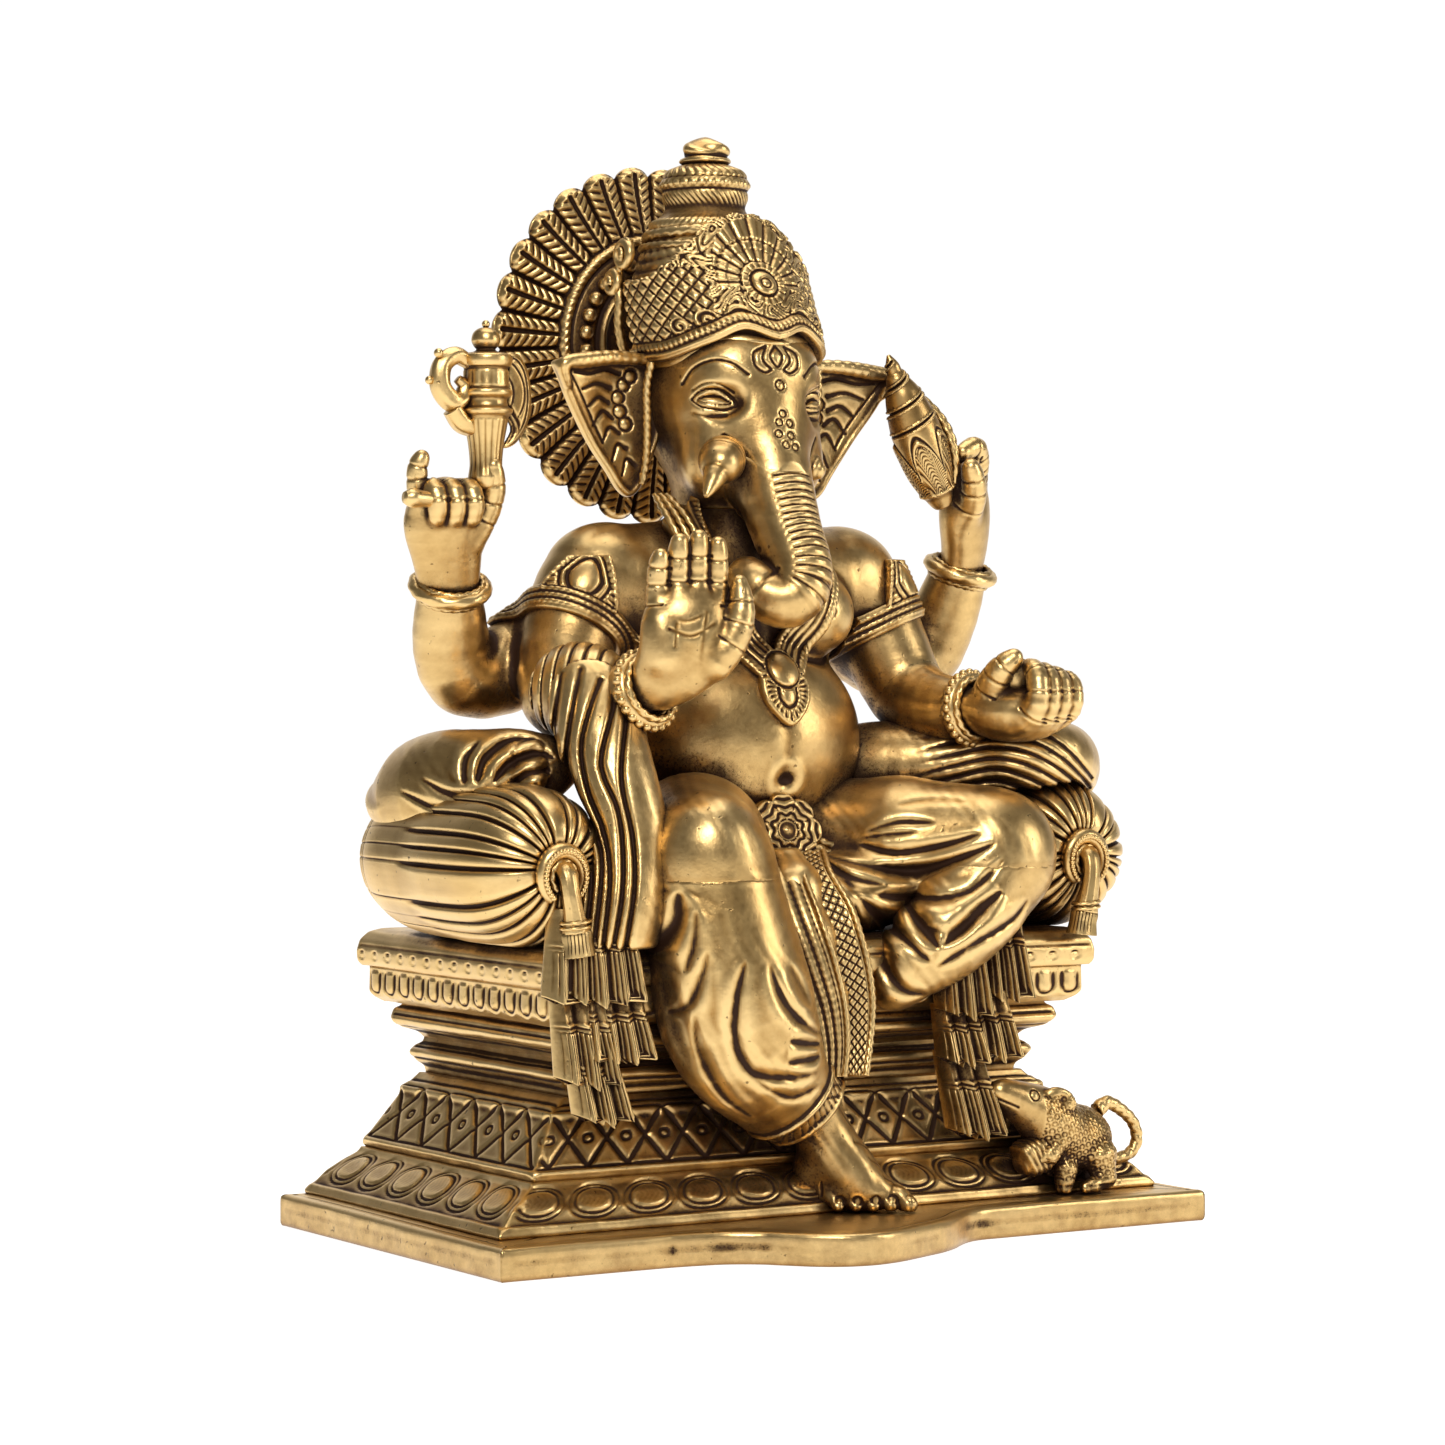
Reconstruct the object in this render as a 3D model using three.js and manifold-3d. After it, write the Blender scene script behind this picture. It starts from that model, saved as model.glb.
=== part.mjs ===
// A seated four-armed Ganesha on a stepped throne: a brass shrine idol, 305 mm tall.
// Millimetres, +Z up. The idol faces -Y, and its own right hand is on the -X side.
// The origin is under the middle of the whole object, at table height.
import * as THREE from 'three';
import { mergeVertices } from 'three/addons/utils/BufferGeometryUtils.js';
import Module from 'manifold-3d';

const wasm = await Module();
wasm.setup();

// ---------------------------------------------------------------- driving dimensions
const GAP = 0.3; // clearance between neighbouring castings, where they are brazed
const PLATE = { halfWidth: 112.5, front: -65, back: 62.5, thickness: 8.8 };
const LOBE = { x: -12, halfWidth: 42, out: 24 }; // rounded apron in front of the foot
const HOLLOW = { halfWidth: 62, front: -20, back: 46, top: 71.5 }; // open core under the seat
const SEAT_Z = 82;
const SHIFT_Y = (LOBE.out - PLATE.front - PLATE.back) / 2; // puts the origin under the middle

// The throne as [height, half width, front, back], from the foot of each course to its head.
const LOTUS_TIER = [[9.1, 104, -50, 60], [13.5, 103, -49, 60], [21, 91, -41, 57]];
const DIAMOND_TIER = [[21.3, 90, -40, 56.5], [25.5, 88.5, -39, 56], [37.5, 79.5, -32, 53], [41.5, 75, -30, 52]];
const LOWER_MOULDING = [[41.8, 72.5, -29, 52], [44.5, 72.5, -29, 52], [46, 76, -31, 53], [49, 76, -31, 53], [51.5, 73, -30, 52]];
const UPPER_MOULDING = [[51.8, 73, -30, 52], [54.5, 79.5, -36, 55], [59.5, 80.5, -37, 56], [61.5, 78, -36, 55]];
const PETAL_BAND = [[61.8, 84, -41, 59], [64, 86, -43, 60], [71.7, 86, -43, 60]];
const SEAT_SLAB = [[72, 88.5, -45, 62], [78.5, 88.5, -45, 62], [SEAT_Z, 85.5, -42, 60]];

const BRASS = { color: 0xb58a42, roughness: 0.35, metalness: 1 };
const AGED_BRASS = { color: 0x8f6a33, roughness: 0.45, metalness: 1 };

// ---------------------------------------------------------------- solids
function solidFrom(geometry) {
  const bare = geometry.clone();
  bare.deleteAttribute('normal');
  bare.deleteAttribute('uv');
  const merged = mergeVertices(bare, 1e-4);
  return new wasm.Manifold(new wasm.Mesh({
    numProp: 3,
    vertProperties: merged.attributes.position.array,
    triVerts: new Uint32Array(merged.index.array),
  }));
}

function geometryFrom(solid) {
  const mesh = solid.getMesh();
  const geometry = new THREE.BufferGeometry();
  const points = new Float32Array(mesh.numVert * 3);
  for (let v = 0; v < mesh.numVert; v++) {
    for (let k = 0; k < 3; k++) points[v * 3 + k] = mesh.vertProperties[v * mesh.numProp + k];
  }
  geometry.setAttribute('position', new THREE.BufferAttribute(points, 3));
  geometry.setIndex(Array.from(mesh.triVerts));
  return geometry;
}

const join = (...solids) => solids.reduce((a, b) => a.add(b));

// A closed skin through rings of equal point count; each end is closed by a fan.
function loft(rings) {
  const n = rings[0].length;
  const points = rings.flat().map((p) => [p.x, p.y, p.z]);
  const middle = (ring) => ring.reduce((a, p) => a.clone().add(p), new THREE.Vector3()).divideScalar(n);
  const first = points.push(middle(rings[0]).toArray()) - 1;
  const last = points.push(middle(rings.at(-1)).toArray()) - 1;
  const faces = [];
  for (let j = 0; j < n; j++) {
    const k = (j + 1) % n;
    const end = (rings.length - 1) * n;
    faces.push(first, k, j, last, end + j, end + k);
    for (let i = 0; i < rings.length - 1; i++) {
      faces.push(i * n + j, i * n + k, (i + 1) * n + k, i * n + j, (i + 1) * n + k, (i + 1) * n + j);
    }
  }
  const geometry = new THREE.BufferGeometry();
  geometry.setAttribute('position', new THREE.Float32BufferAttribute(points.flat(), 3));
  geometry.setIndex(faces);
  const solid = solidFrom(geometry);
  if (solid.volume() > 0) return solid;
  for (let i = 0; i < faces.length; i += 3) [faces[i + 1], faces[i + 2]] = [faces[i + 2], faces[i + 1]];
  geometry.setIndex(faces);
  return solidFrom(geometry);
}

// One course of the throne, stacked from rectangles.
function course(levels, grow = 0) {
  return loft(levels.map(([z, half, front, back], i) => {
    const lift = i === 0 ? -grow : i === levels.length - 1 ? grow : 0;
    const corner = (x, y) => new THREE.Vector3(x, y, z + lift);
    return [
      corner(-half - grow, front - grow), corner(half + grow, front - grow),
      corner(half + grow, back + grow), corner(-half - grow, back + grow),
    ];
  }));
}

// A level stack of ellipses: [height, half width, half depth, centre y].
function ellipses(levels, grow = 0, sides = 20) {
  return loft(levels.map(([z, a, b, y], i) => {
    const lift = i === 0 ? -grow : i === levels.length - 1 ? grow : 0;
    return Array.from({ length: sides }, (_, k) => {
      const turn = (k / sides) * 2 * Math.PI;
      return new THREE.Vector3((a + grow) * Math.cos(turn), y + (b + grow) * Math.sin(turn), z + lift);
    });
  }));
}

// A rounded limb through points [x, y, z, radius]; squash flattens its section along a direction.
function limb(stations, { grow = 0, sides = 8, steps = 4, squash = 1, across = [0, 1, 0] } = {}) {
  const at = stations.map(([x, y, z]) => new THREE.Vector3(x, y, z));
  const curve = new THREE.CatmullRomCurve3(at, false, 'centripetal');
  const side = new THREE.Vector3(...across).normalize();
  const rings = [];
  const ring = (centre, tangent, radius) => {
    const v = side.clone().addScaledVector(tangent, -side.dot(tangent)).normalize();
    const u = new THREE.Vector3().crossVectors(v, tangent);
    return Array.from({ length: sides }, (_, k) => {
      const turn = (k / sides) * 2 * Math.PI;
      return centre.clone()
        .addScaledVector(u, (radius + grow) * Math.cos(turn))
        .addScaledVector(v, (radius * squash + grow) * Math.sin(turn));
    });
  };
  const radiusAt = (t) => {
    const f = t * (stations.length - 1);
    const i = Math.min(stations.length - 2, Math.floor(f));
    return THREE.MathUtils.lerp(stations[i][3], stations[i + 1][3], f - i);
  };
  const cap = [55];
  for (const a of cap) {
    const turn = THREE.MathUtils.degToRad(a);
    const r = radiusAt(0);
    const tangent = curve.getTangent(0);
    const centre = curve.getPoint(0).addScaledVector(tangent, -(r * Math.min(1, squash) + grow) * Math.sin(turn));
    rings.push(ring(centre, tangent, r * Math.cos(turn) - grow * (1 - Math.cos(turn))));
  }
  for (let i = 0; i <= steps; i++) {
    const t = i / steps;
    rings.push(ring(curve.getPoint(t), curve.getTangent(t), radiusAt(t)));
  }
  for (const a of [...cap].reverse()) {
    const turn = THREE.MathUtils.degToRad(a);
    const r = radiusAt(1);
    const tangent = curve.getTangent(1);
    const centre = curve.getPoint(1).addScaledVector(tangent, (r * Math.min(1, squash) + grow) * Math.sin(turn));
    rings.push(ring(centre, tangent, r * Math.cos(turn) - grow * (1 - Math.cos(turn))));
  }
  return loft(rings);
}

// An ellipsoid with its own turn about X, Y and Z, in degrees.
function blob([x, y, z], [a, b, c], { grow = 0, turn = [0, 0, 0], detail = 12 } = {}) {
  const geometry = new THREE.SphereGeometry(1, detail, Math.round(detail * 0.6));
  geometry.scale(a + grow, b + grow, c + grow);
  const spin = turn.map(THREE.MathUtils.degToRad);
  geometry.applyMatrix4(new THREE.Matrix4().makeRotationFromEuler(new THREE.Euler(...spin)));
  geometry.translate(x, y, z);
  return solidFrom(geometry);
}

// A turned piece about +Z from [radius, height] points, then moved and leaned.
function turned(profile, { grow = 0, place = [0, 0, 0], aim = [0, 0, 1], sides = 12 } = {}) {
  const last = profile.length - 1;
  const points = profile.map(([r, h], i) => {
    const lift = i === 0 ? -grow : i === last ? grow : 0;
    return new THREE.Vector2(r + grow, h + lift);
  });
  const closed = [new THREE.Vector2(0, points[0].y), ...points, new THREE.Vector2(0, points[last].y)];
  const geometry = new THREE.LatheGeometry(closed, sides);
  geometry.rotateX(Math.PI / 2);
  const lean = new THREE.Quaternion().setFromUnitVectors(
    new THREE.Vector3(0, 0, 1), new THREE.Vector3(...aim).normalize());
  geometry.applyQuaternion(lean);
  geometry.translate(...place);
  return solidFrom(geometry);
}

// An outline in the XZ plane given thickness along Y, from front to back.
function slice(outline, front, back, grow = 0, curveSegments = 6) {
  const shape = outline instanceof THREE.Shape ? outline : new THREE.Shape(outline.map(([x, z]) => new THREE.Vector2(x, z)));
  const geometry = new THREE.ExtrudeGeometry(shape, { depth: back - front + 2 * grow, bevelEnabled: false, curveSegments });
  geometry.rotateX(Math.PI / 2);
  geometry.translate(0, back + grow, 0);
  return solidFrom(geometry);
}

// A ring of round wire about an axis: radius of the ring, radius of the wire.
function hoop(place, aim, ringRadius, wire, grow = 0, stretch = 1) {
  const geometry = new THREE.TorusGeometry(ringRadius, wire + grow, 5, 12);
  geometry.scale(1, stretch, 1);
  geometry.applyQuaternion(new THREE.Quaternion().setFromUnitVectors(
    new THREE.Vector3(0, 0, 1), new THREE.Vector3(...aim).normalize()));
  geometry.translate(...place);
  return solidFrom(geometry);
}

const mirrored = (stations) => stations.map(([x, ...rest]) => [-x, ...rest]);

// ---------------------------------------------------------------- the list of castings
// Earlier entries keep their whole shape; later ones are cut back from them by GAP.
const castings = [];
const casting = (name, finish, make) => castings.push({ name, finish, make });

// ---- throne
const hollow = () => course([
  [-20, HOLLOW.halfWidth, HOLLOW.front, HOLLOW.back], [HOLLOW.top, HOLLOW.halfWidth, HOLLOW.front, HOLLOW.back],
]);

casting('base_plate', BRASS, () => {
  const outline = new THREE.Shape();
  outline.moveTo(-PLATE.halfWidth, -PLATE.back);
  outline.lineTo(-PLATE.halfWidth, -PLATE.front);
  outline.lineTo(LOBE.x - LOBE.halfWidth - 8, -PLATE.front);
  outline.bezierCurveTo(
    LOBE.x - LOBE.halfWidth + 12, -PLATE.front - 2, LOBE.x - LOBE.halfWidth + 8, -PLATE.front + LOBE.out,
    LOBE.x, -PLATE.front + LOBE.out);
  outline.bezierCurveTo(
    LOBE.x + LOBE.halfWidth - 10, -PLATE.front + LOBE.out, LOBE.x + LOBE.halfWidth - 4, -PLATE.front + 6,
    LOBE.x + LOBE.halfWidth, -PLATE.front);
  outline.lineTo(PLATE.halfWidth, -PLATE.front);
  outline.lineTo(PLATE.halfWidth, -PLATE.back);
  const geometry = new THREE.ExtrudeGeometry(outline, { depth: PLATE.thickness, bevelEnabled: false, curveSegments: 10 });
  geometry.rotateX(Math.PI);
  geometry.translate(0, 0, PLATE.thickness);
  return solidFrom(geometry).subtract(hollow());
});
for (const [name, levels] of Object.entries({
  lotus_tier: LOTUS_TIER, diamond_tier: DIAMOND_TIER, lower_moulding: LOWER_MOULDING,
  upper_moulding: UPPER_MOULDING, petal_band: PETAL_BAND,
})) {
  casting(name, BRASS, (grow) => course(levels, grow).subtract(hollow()));
}
casting('seat_slab', BRASS, (grow) => course(SEAT_SLAB, grow));

// ---- body
casting('torso', BRASS, (grow) => join(
  blob([0, 1, 136], [36, 24.5, 32], { grow, detail: 12 }),
  blob([0, 7, 172], [42, 19, 21], { grow, detail: 12 }),
  limb([[-38, 10, 180, 14], [38, 10, 180, 14]], { grow, sides: 10, steps: 1 }),
  limb([[0, 9, 186, 17], [0, 9, 204, 15]], { grow, sides: 10, steps: 1 }),
  ellipses([[SEAT_Z + GAP, 36, 25, 6], [104, 38, 27, 4], [118, 34, 22, 3]], 0, 16),
));

// ---- legs: the right one hangs to the apron, the left one is folded on the seat
const RIGHT_SHIN = [
  [-41, -48, 101, 17], [-38, -48, 90, 19.5], [-33, -50, 70, 21.5], [-28, -51, 55, 20], [-17, -48, 43, 13], [-7, -45.5, 35, 8],
];
casting('right_thigh', BRASS, (grow) => limb([[-18, 2, 104, 20], [-31, -25, 107, 19], [-41, -46, 106, 17]], { grow, sides: 10, steps: 3 }));
casting('left_thigh', BRASS, (grow) => limb([[18, 2, 104, 20], [37, -24, 106, 18], [52, -42, 107, 15.5]], { grow, sides: 10, steps: 3 }));
casting('right_shin', BRASS, (grow) => limb(RIGHT_SHIN, { grow, sides: 10, steps: 8 }));
casting('left_shin', BRASS, (grow) => limb([[51, -42, 101, 14], [41, -44, 91, 14], [28, -43, 80, 12], [18, -41, 72, 7]], { grow, sides: 10, steps: 4 }));
casting('right_foot', BRASS, (grow) => join(
  limb([[-3, -43, 33, 6.5], [2, -47, 25, 7.5], [8, -53, 17.5, 7.5], [12, -57, 14, 6]], { grow, squash: 1.1 }),
  ...[-7.2, -3.6, 0, 3.6, 7.6].map((s, i) => limb([
    [10.5 + s * 0.72, -55 - s * -0.62 - 1, 12.5, 2.3 + i * 0.2], [15 + s * 0.72, -60 - s * -0.62, 11.4, 2 + i * 0.25],
  ], { grow, sides: 5, steps: 1 })),
));

// ---- head
casting('head', BRASS, (grow) => join(
  blob([0, 9, 231], [24, 28, 27], { grow, detail: 12 }),
  blob([0, -3, 221], [21.5, 17, 19], { grow, detail: 12 }),
));
const TRUNK = [
  [0, -11, 222, 10.5], [0, -17, 211, 9.6], [0, -22, 199, 8.2], [1, -26.5, 187, 7.2],
  [1, -28, 177.5, 6.7], [-1, -22.5, 172, 6.2], [-4, -16, 174.5, 5.4], [-4.5, -15.5, 181, 4],
];
casting('trunk', BRASS, (grow) => limb(TRUNK, { grow, sides: 10, steps: 14 }));
casting('right_tusk', BRASS, (grow) => limb([[-15, -16, 212, 4.6], [-20, -21.5, 208, 4], [-26, -25, 203.5, 1.4]], { grow, sides: 8, steps: 4 }));
casting('left_tusk', BRASS, (grow) => limb([[14, -14, 213, 4.4], [15.5, -18, 211, 3.6]], { grow, sides: 8, steps: 2 }));
const RIGHT_EAR = [[-21, 241], [-38, 244.5], [-53, 243], [-49, 232], [-42, 221], [-36, 211], [-31, 205], [-26, 207], [-21, 220]];
casting('right_ear', BRASS, (grow) => slice(RIGHT_EAR, 9, 13, grow));
casting('left_ear', BRASS, (grow) => slice(mirrored(RIGHT_EAR).reverse(), 9, 13, grow));

// ---- crown
const CAP = [[243, 22.5, 27, 10], [256, 22.8, 28, 10], [266, 21, 25, 12], [273, 17.5, 20, 16], [277, 15, 16, 19]];
casting('crown_cap', BRASS, (grow) => ellipses(CAP, grow));
casting('crown_crest', BRASS, (grow) => {
  const outline = [[0, 243], [9, 246.5], [17, 242], [23, 237], [28, 240], [27, 252], [24, 262], [18, 270], [10, 276.5], [0, 280]];
  const face = [...outline, ...mirrored(outline.slice(1, -1)).reverse()];
  const skin = ellipses(CAP.map(([z, a, b, y], i) => [i === 0 ? 236 : z + 4, a + 2.8, b + 3.2, y]), grow);
  return skin.intersect(slice(face, -40, 6));
});
casting('topknot', BRASS, (grow) => turned([
  [15, 277.4], [15.4, 279], [14, 281], [9.2, 281.8], [9.6, 285], [11.8, 288.5], [11.8, 292.5], [9.4, 295.6], [6.2, 297],
], { grow, place: [0, 19.7, 0] }));
casting('finial', BRASS, (grow) => turned([
  [5.6, 297.3], [6.8, 298.8], [5.8, 301], [2.6, 304], [0.4, 305],
], { grow, place: [0, 19.7, 0], sides: 12 }));

// ---- halo of feathers behind the crown
const HALO = { z: 250, radius: 47.8, feathers: 32, front: 50, back: 55 };
casting('halo', AGED_BRASS, (grow) => {
  const dish = turned([
    [14, -41], [14, -45], [23, -46], [24.5, -50], [HALO.radius + 1.5, -HALO.front], [HALO.radius + 1.5, -HALO.back], [20, -HALO.back],
  ].reverse(), { grow, place: [0, 0, HALO.z], aim: [0, -1, 0], sides: 24 });
  const scallops = Array.from({ length: HALO.feathers * 2 }, (_, i) => {
    const turn = (i / HALO.feathers) * Math.PI;
    const radius = HALO.radius - [2.4, 0][i % 2];
    return [radius * Math.cos(turn), HALO.z + radius * Math.sin(turn)];
  });
  return dish.intersect(slice(scallops, 30, 60));
});

// ---- arms: front pair
casting('right_upper_arm', BRASS, (grow) => limb([[-44, 10, 180, 14], [-51.5, 6, 166, 13], [-60, -1, 150, 11]], { grow, sides: 10, steps: 3 }));
casting('left_upper_arm', BRASS, (grow) => limb([[44, 10, 180, 14], [49, 6, 166, 12.3], [53, 1, 149, 10.5]], { grow, sides: 10, steps: 3 }));
casting('right_forearm', BRASS, (grow) => limb([[-60, -6, 146, 10.5], [-58, -22, 146, 10], [-53, -40, 150, 7]], { grow, steps: 4 }));
casting('left_forearm', BRASS, (grow) => limb([[54, -3, 145, 10.5], [55, -16, 143, 9.5], [58, -30, 144, 7]], { grow, steps: 4 }));
const finger = (stations, grow) => limb(stations, { grow, sides: 5, steps: 2 });
casting('right_hand', BRASS, (grow) => join(
  limb([[-51.5, -44, 154, 8], [-47.5, -47.5, 163, 11], [-47, -48.5, 172, 10.5]], { grow, squash: 0.55, across: [-0.26, -0.97, 0], steps: 4 }),
  ...[[-8.2, 181], [-2.8, 187], [2.6, 189], [7.8, 187]].map(([s, top]) => finger([
    [-47 + s * 0.97, -48.5 - s * 0.26, 172, 3.1], [-47.5 + s * 0.94, -50 - s * 0.26, (172 + top) / 2, 2.9], [-48 + s * 0.9, -49.5 - s * 0.26, top, 2.3],
  ], grow)),
  finger([[-40, -50, 160, 4.6], [-34.5, -52, 168, 3.8], [-34, -51.5, 176, 2.6]], grow),
));
casting('left_hand', BRASS, (grow) => join(
  limb([[59, -31, 144, 7.5], [63.5, -38, 142.4, 9], [66.5, -43, 143, 8.5]], { grow, steps: 4, squash: 0.8, across: [0, 0, 1] }),
  ...[0, 1, 2, 3].map((i) => finger([
    [63.5 + i * 3.6, -48 - i * 0.6, 140, 3.1], [64.3 + i * 3.6, -51.5 - i * 0.5, 147, 2.9], [65.4 + i * 3.4, -49, 154 - i * 0.6, 2.6], [66 + i * 3, -45, 155 - i, 2.2],
  ], grow)),
  finger([[59.5, -40, 148, 4.4], [61, -44, 154, 3.6], [62.5, -46, 158.5, 2.8]], grow),
));
casting('sweet', BRASS, (grow) => blob([66, -41, 153], [4.4, 4.4, 5.4], { grow, detail: 8 }));

// ---- arms: rear pair
casting('rear_right_upper_arm', BRASS, (grow) => limb([[-42, 17, 171, 13], [-60, 21, 158, 12.3], [-74, 21, 152, 11]], { grow, steps: 4 }));
casting('rear_left_upper_arm', BRASS, (grow) => limb([[42, 17, 174, 12.5], [58, 20, 162, 12], [72, 20, 156, 10.5]], { grow, steps: 4 }));
casting('rear_right_forearm', BRASS, (grow) => limb([[-76.5, 21, 155, 10.6], [-81.5, 18, 164, 9.8], [-85.5, 12, 176, 8]], { grow, steps: 4 }));
casting('rear_left_forearm', BRASS, (grow) => limb([[75, 19, 160, 10.3], [80, 15, 172, 9.2], [82, 11, 183, 7.6]], { grow, steps: 4 }));
casting('rear_right_hand', BRASS, (grow) => join(
  limb([[-87, 10, 180, 7.4], [-89.5, 7, 188, 9.2], [-90.5, 5, 196, 9.2]], { grow, steps: 4, squash: 0.72, across: [-0.4, -0.9, 0] }),
  ...[[-95.5, 2.5], [-91, 1], [-86.6, 0]].map(([x, y]) => blob([x, y, 199], [2.7, 5, 5.2], { grow, detail: 8 })),
  finger([[-97, 5, 197, 3], [-99.5, 4, 204, 2.7], [-100, 3, 210, 2.3]], grow),
  finger([[-82, 3, 194, 3.4], [-79.5, 0, 202, 3.1], [-80.5, -2, 209, 2.5]], grow),
  finger([[-97, 1, 200.5, 2], [-104.5, 1, 200.5, 2]], grow),
));
casting('rear_left_hand', BRASS, (grow) => join(
  limb([[81.5, 9, 187, 7], [80, 6, 196, 8], [77, 4, 205, 7.2]], { grow, steps: 4, squash: 0.75, across: [0.4, -0.9, 0] }),
  ...[0, 1, 2, 3].map((i) => finger([
    [80 + i * 1.6, 5 + i * 3, 207 - i * 2.5, 3], [78.5 + i * 2, 1 + i * 3, 213 - i * 2.6, 2.8], [72 + i * 2, -1 + i * 3, 216 - i * 2.6, 2.5],
  ], grow)),
  finger([[76, 0, 199, 3.6], [74, -4, 206, 3.2], [71.5, -5, 211.5, 2.5]], grow),
));

// ---- what the rear hands hold
casting('goad_axe', AGED_BRASS, (grow) => join(
  limb([[-83, 0.5, 206, 6.2], [-81.5, 0, 214, 5.6], [-81, 0, 224, 6]], { grow, steps: 3 }),
  turned([[6.2, 224], [6.4, 228], [5.6, 233], [6.2, 238.5], [3.4, 240.4]], { grow, place: [-81.5, 0, 0], sides: 8 }),
  blob([-81.5, 0, 242.8], [3.6, 3.6, 3.8], { grow, detail: 8 }),
  slice([[-77, 238], [-72, 238.5], [-68.2, 234], [-67, 228], [-68.5, 221], [-73, 216.5], [-76, 218], [-72.8, 222], [-76.5, 226], [-77, 231]], -2, 2, grow),
  limb([[-86.5, 0, 236, 1.8], [-91, 0, 237.6, 2.3], [-95, 0, 234, 2.6], [-94.4, 0, 228.5, 2.8], [-90.5, 0, 224, 2.9], [-85.5, 0, 221.5, 3]], { grow, sides: 6, steps: 7 }),
));
casting('conch', AGED_BRASS, (grow) => turned([
  [3, 0], [5, 5], [7.2, 13], [7.8, 20], [7.2, 27], [6, 31.5], [4.4, 37], [0.5, 43.5],
], { grow, place: [64.2, -1, 204.5], aim: [-0.42, -0.02, 0.91], sides: 12 }));

// ---- bangles and armlets
const ring = (name, place, aim, radius, wire) => casting(name, BRASS, (grow) => hoop(place, aim, radius, wire, grow));
ring('right_bangle', [-53.4, -37.5, 149.6], [0.2, -0.9, 0.3], 8.4, 3);
ring('left_bangle', [57.6, -28, 143.8], [0.25, -0.95, 0.1], 8, 2.8);
ring('rear_right_bangle', [-86, 11.5, 177.2], [-0.15, -0.45, 0.88], 9.2, 2.4);
ring('rear_left_bangle', [82, 11, 183.4], [0.1, -0.35, 0.93], 8.8, 2.4);
ring('right_armlet', [-52.6, 6.2, 166.5], [-0.38, -0.35, -0.85], 13.4, 2.3);
ring('left_armlet', [50.6, 6.2, 166.5], [0.22, -0.3, -0.93], 13, 2.3);

// ---- jewels on the body
casting('necklace', BRASS, (grow) => join(
  limb([
    [-19, -2, 196, 2.8], [-17.5, -11, 182, 3.2], [-11, -17, 168, 3.4], [-1, -21.4, 154.5, 3.6],
    [1, -21.4, 154.5, 3.6], [11, -17, 168, 3.4], [17.5, -11, 182, 3.2], [19, -2, 196, 2.8],
  ], { grow, sides: 6, steps: 14 }),
  limb([[0, -22.4, 153.5, 6], [0, -24.2, 146, 5.6], [0, -24.8, 139.5, 2.4]], { grow, sides: 8, steps: 4, squash: 0.5 }),
));
casting('belt_clasp', BRASS, (grow) => turned([[7, -2.6], [9.2, -1.4], [9.2, 1.8], [5, 3.2]], {
  grow, place: [0.5, -25, 110.5], aim: [0, -0.95, 0.3], sides: 16,
}));

// ---- cloth
casting('centre_sash', BRASS, (grow) => limb(
  [[1, -27, 101, 6], [6, -36, 95, 7], [8, -44, 80, 7.5], [4, -48, 62, 9], [0, -50, 50, 9]],
  { grow, sides: 8, steps: 6, squash: 0.45, across: [0, -1, 0.3] },
));
casting('right_shawl', BRASS, (grow) => limb(
  [[-60, -22, 148, 12], [-65, -33, 133, 11], [-62.5, -41, 110, 9.5], [-67, -44, 90, 10]],
  { grow, sides: 10, steps: 5, squash: 0.8 },
));

// ---- bolsters on the ends of the seat
const BOLSTER = [[-84, -43, 103, 9], [-84, -40, 103, 16], [-84, -33, 103, 20.6], [-84.5, -10, 103.4, 21], [-85, 14, 103.4, 21], [-85, 32, 103, 17]];
casting('right_bolster', BRASS, (grow) => limb(BOLSTER, { grow, sides: 12, steps: 6, across: [0, 0, 1] }));
casting('left_bolster', BRASS, (grow) => limb(mirrored(BOLSTER), { grow, sides: 12, steps: 6, across: [0, 0, 1] }));
casting('right_bolster_cover', BRASS, (grow) => limb(
  [[-76, -12, 125, 10], [-86, 2, 123, 15.5], [-87, 18, 121, 17.5], [-84, 34, 116, 13]], { grow, sides: 10, steps: 4 },
));
casting('left_bolster_cover', BRASS, (grow) => limb(
  [[70, -38, 131, 6], [84, -35, 130, 9], [91, -20, 126, 13], [87, 4, 121, 16], [82, 30, 116, 13]], { grow, sides: 10, steps: 5 },
));
for (const [name, side] of [['right_bolster_rosette', -1], ['left_bolster_rosette', 1]]) {
  casting(name, BRASS, (grow) => join(
    turned([[6.5, -3], [6.8, 1.4], [4, 3]], { grow, place: [side * 84, -50.5, 101], aim: [0, -1, 0], sides: 12 }),
    limb([[side * 84, -53, 101, 2.6], [side * 83, -54, 93, 3], [side * 81.5, -52.5, 85, 4.4]], { grow, sides: 8, steps: 4 }),
  ));
}

// ---- fringed cloth ends over the front of the throne
const fringe = (levels, side) => (grow) => loft(levels.map(([z, x0, x1, front, back], i) => {
  const lift = i === 0 ? -grow : i === levels.length - 1 ? grow : 0;
  return [[x0 - grow, front - grow], [x1 + grow, front - grow], [x1 + grow, back + grow], [x0 - grow, back + grow]]
    .map(([x, y]) => new THREE.Vector3(side * x, y, z + lift));
}));
casting('right_fringe', BRASS, fringe([[40, 70, 82, -44, -34], [58, 66, 86, -50, -38], [60, 62, 88, -52, -40], [84, 66, 84, -49, -41]], -1));
casting('left_fringe', BRASS, fringe([[27, 40, 48, -50, -40], [48, 36, 56, -54, -38], [54, 32, 58, -56, -40], [82, 46, 62, -51, -42]], 1));

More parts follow.
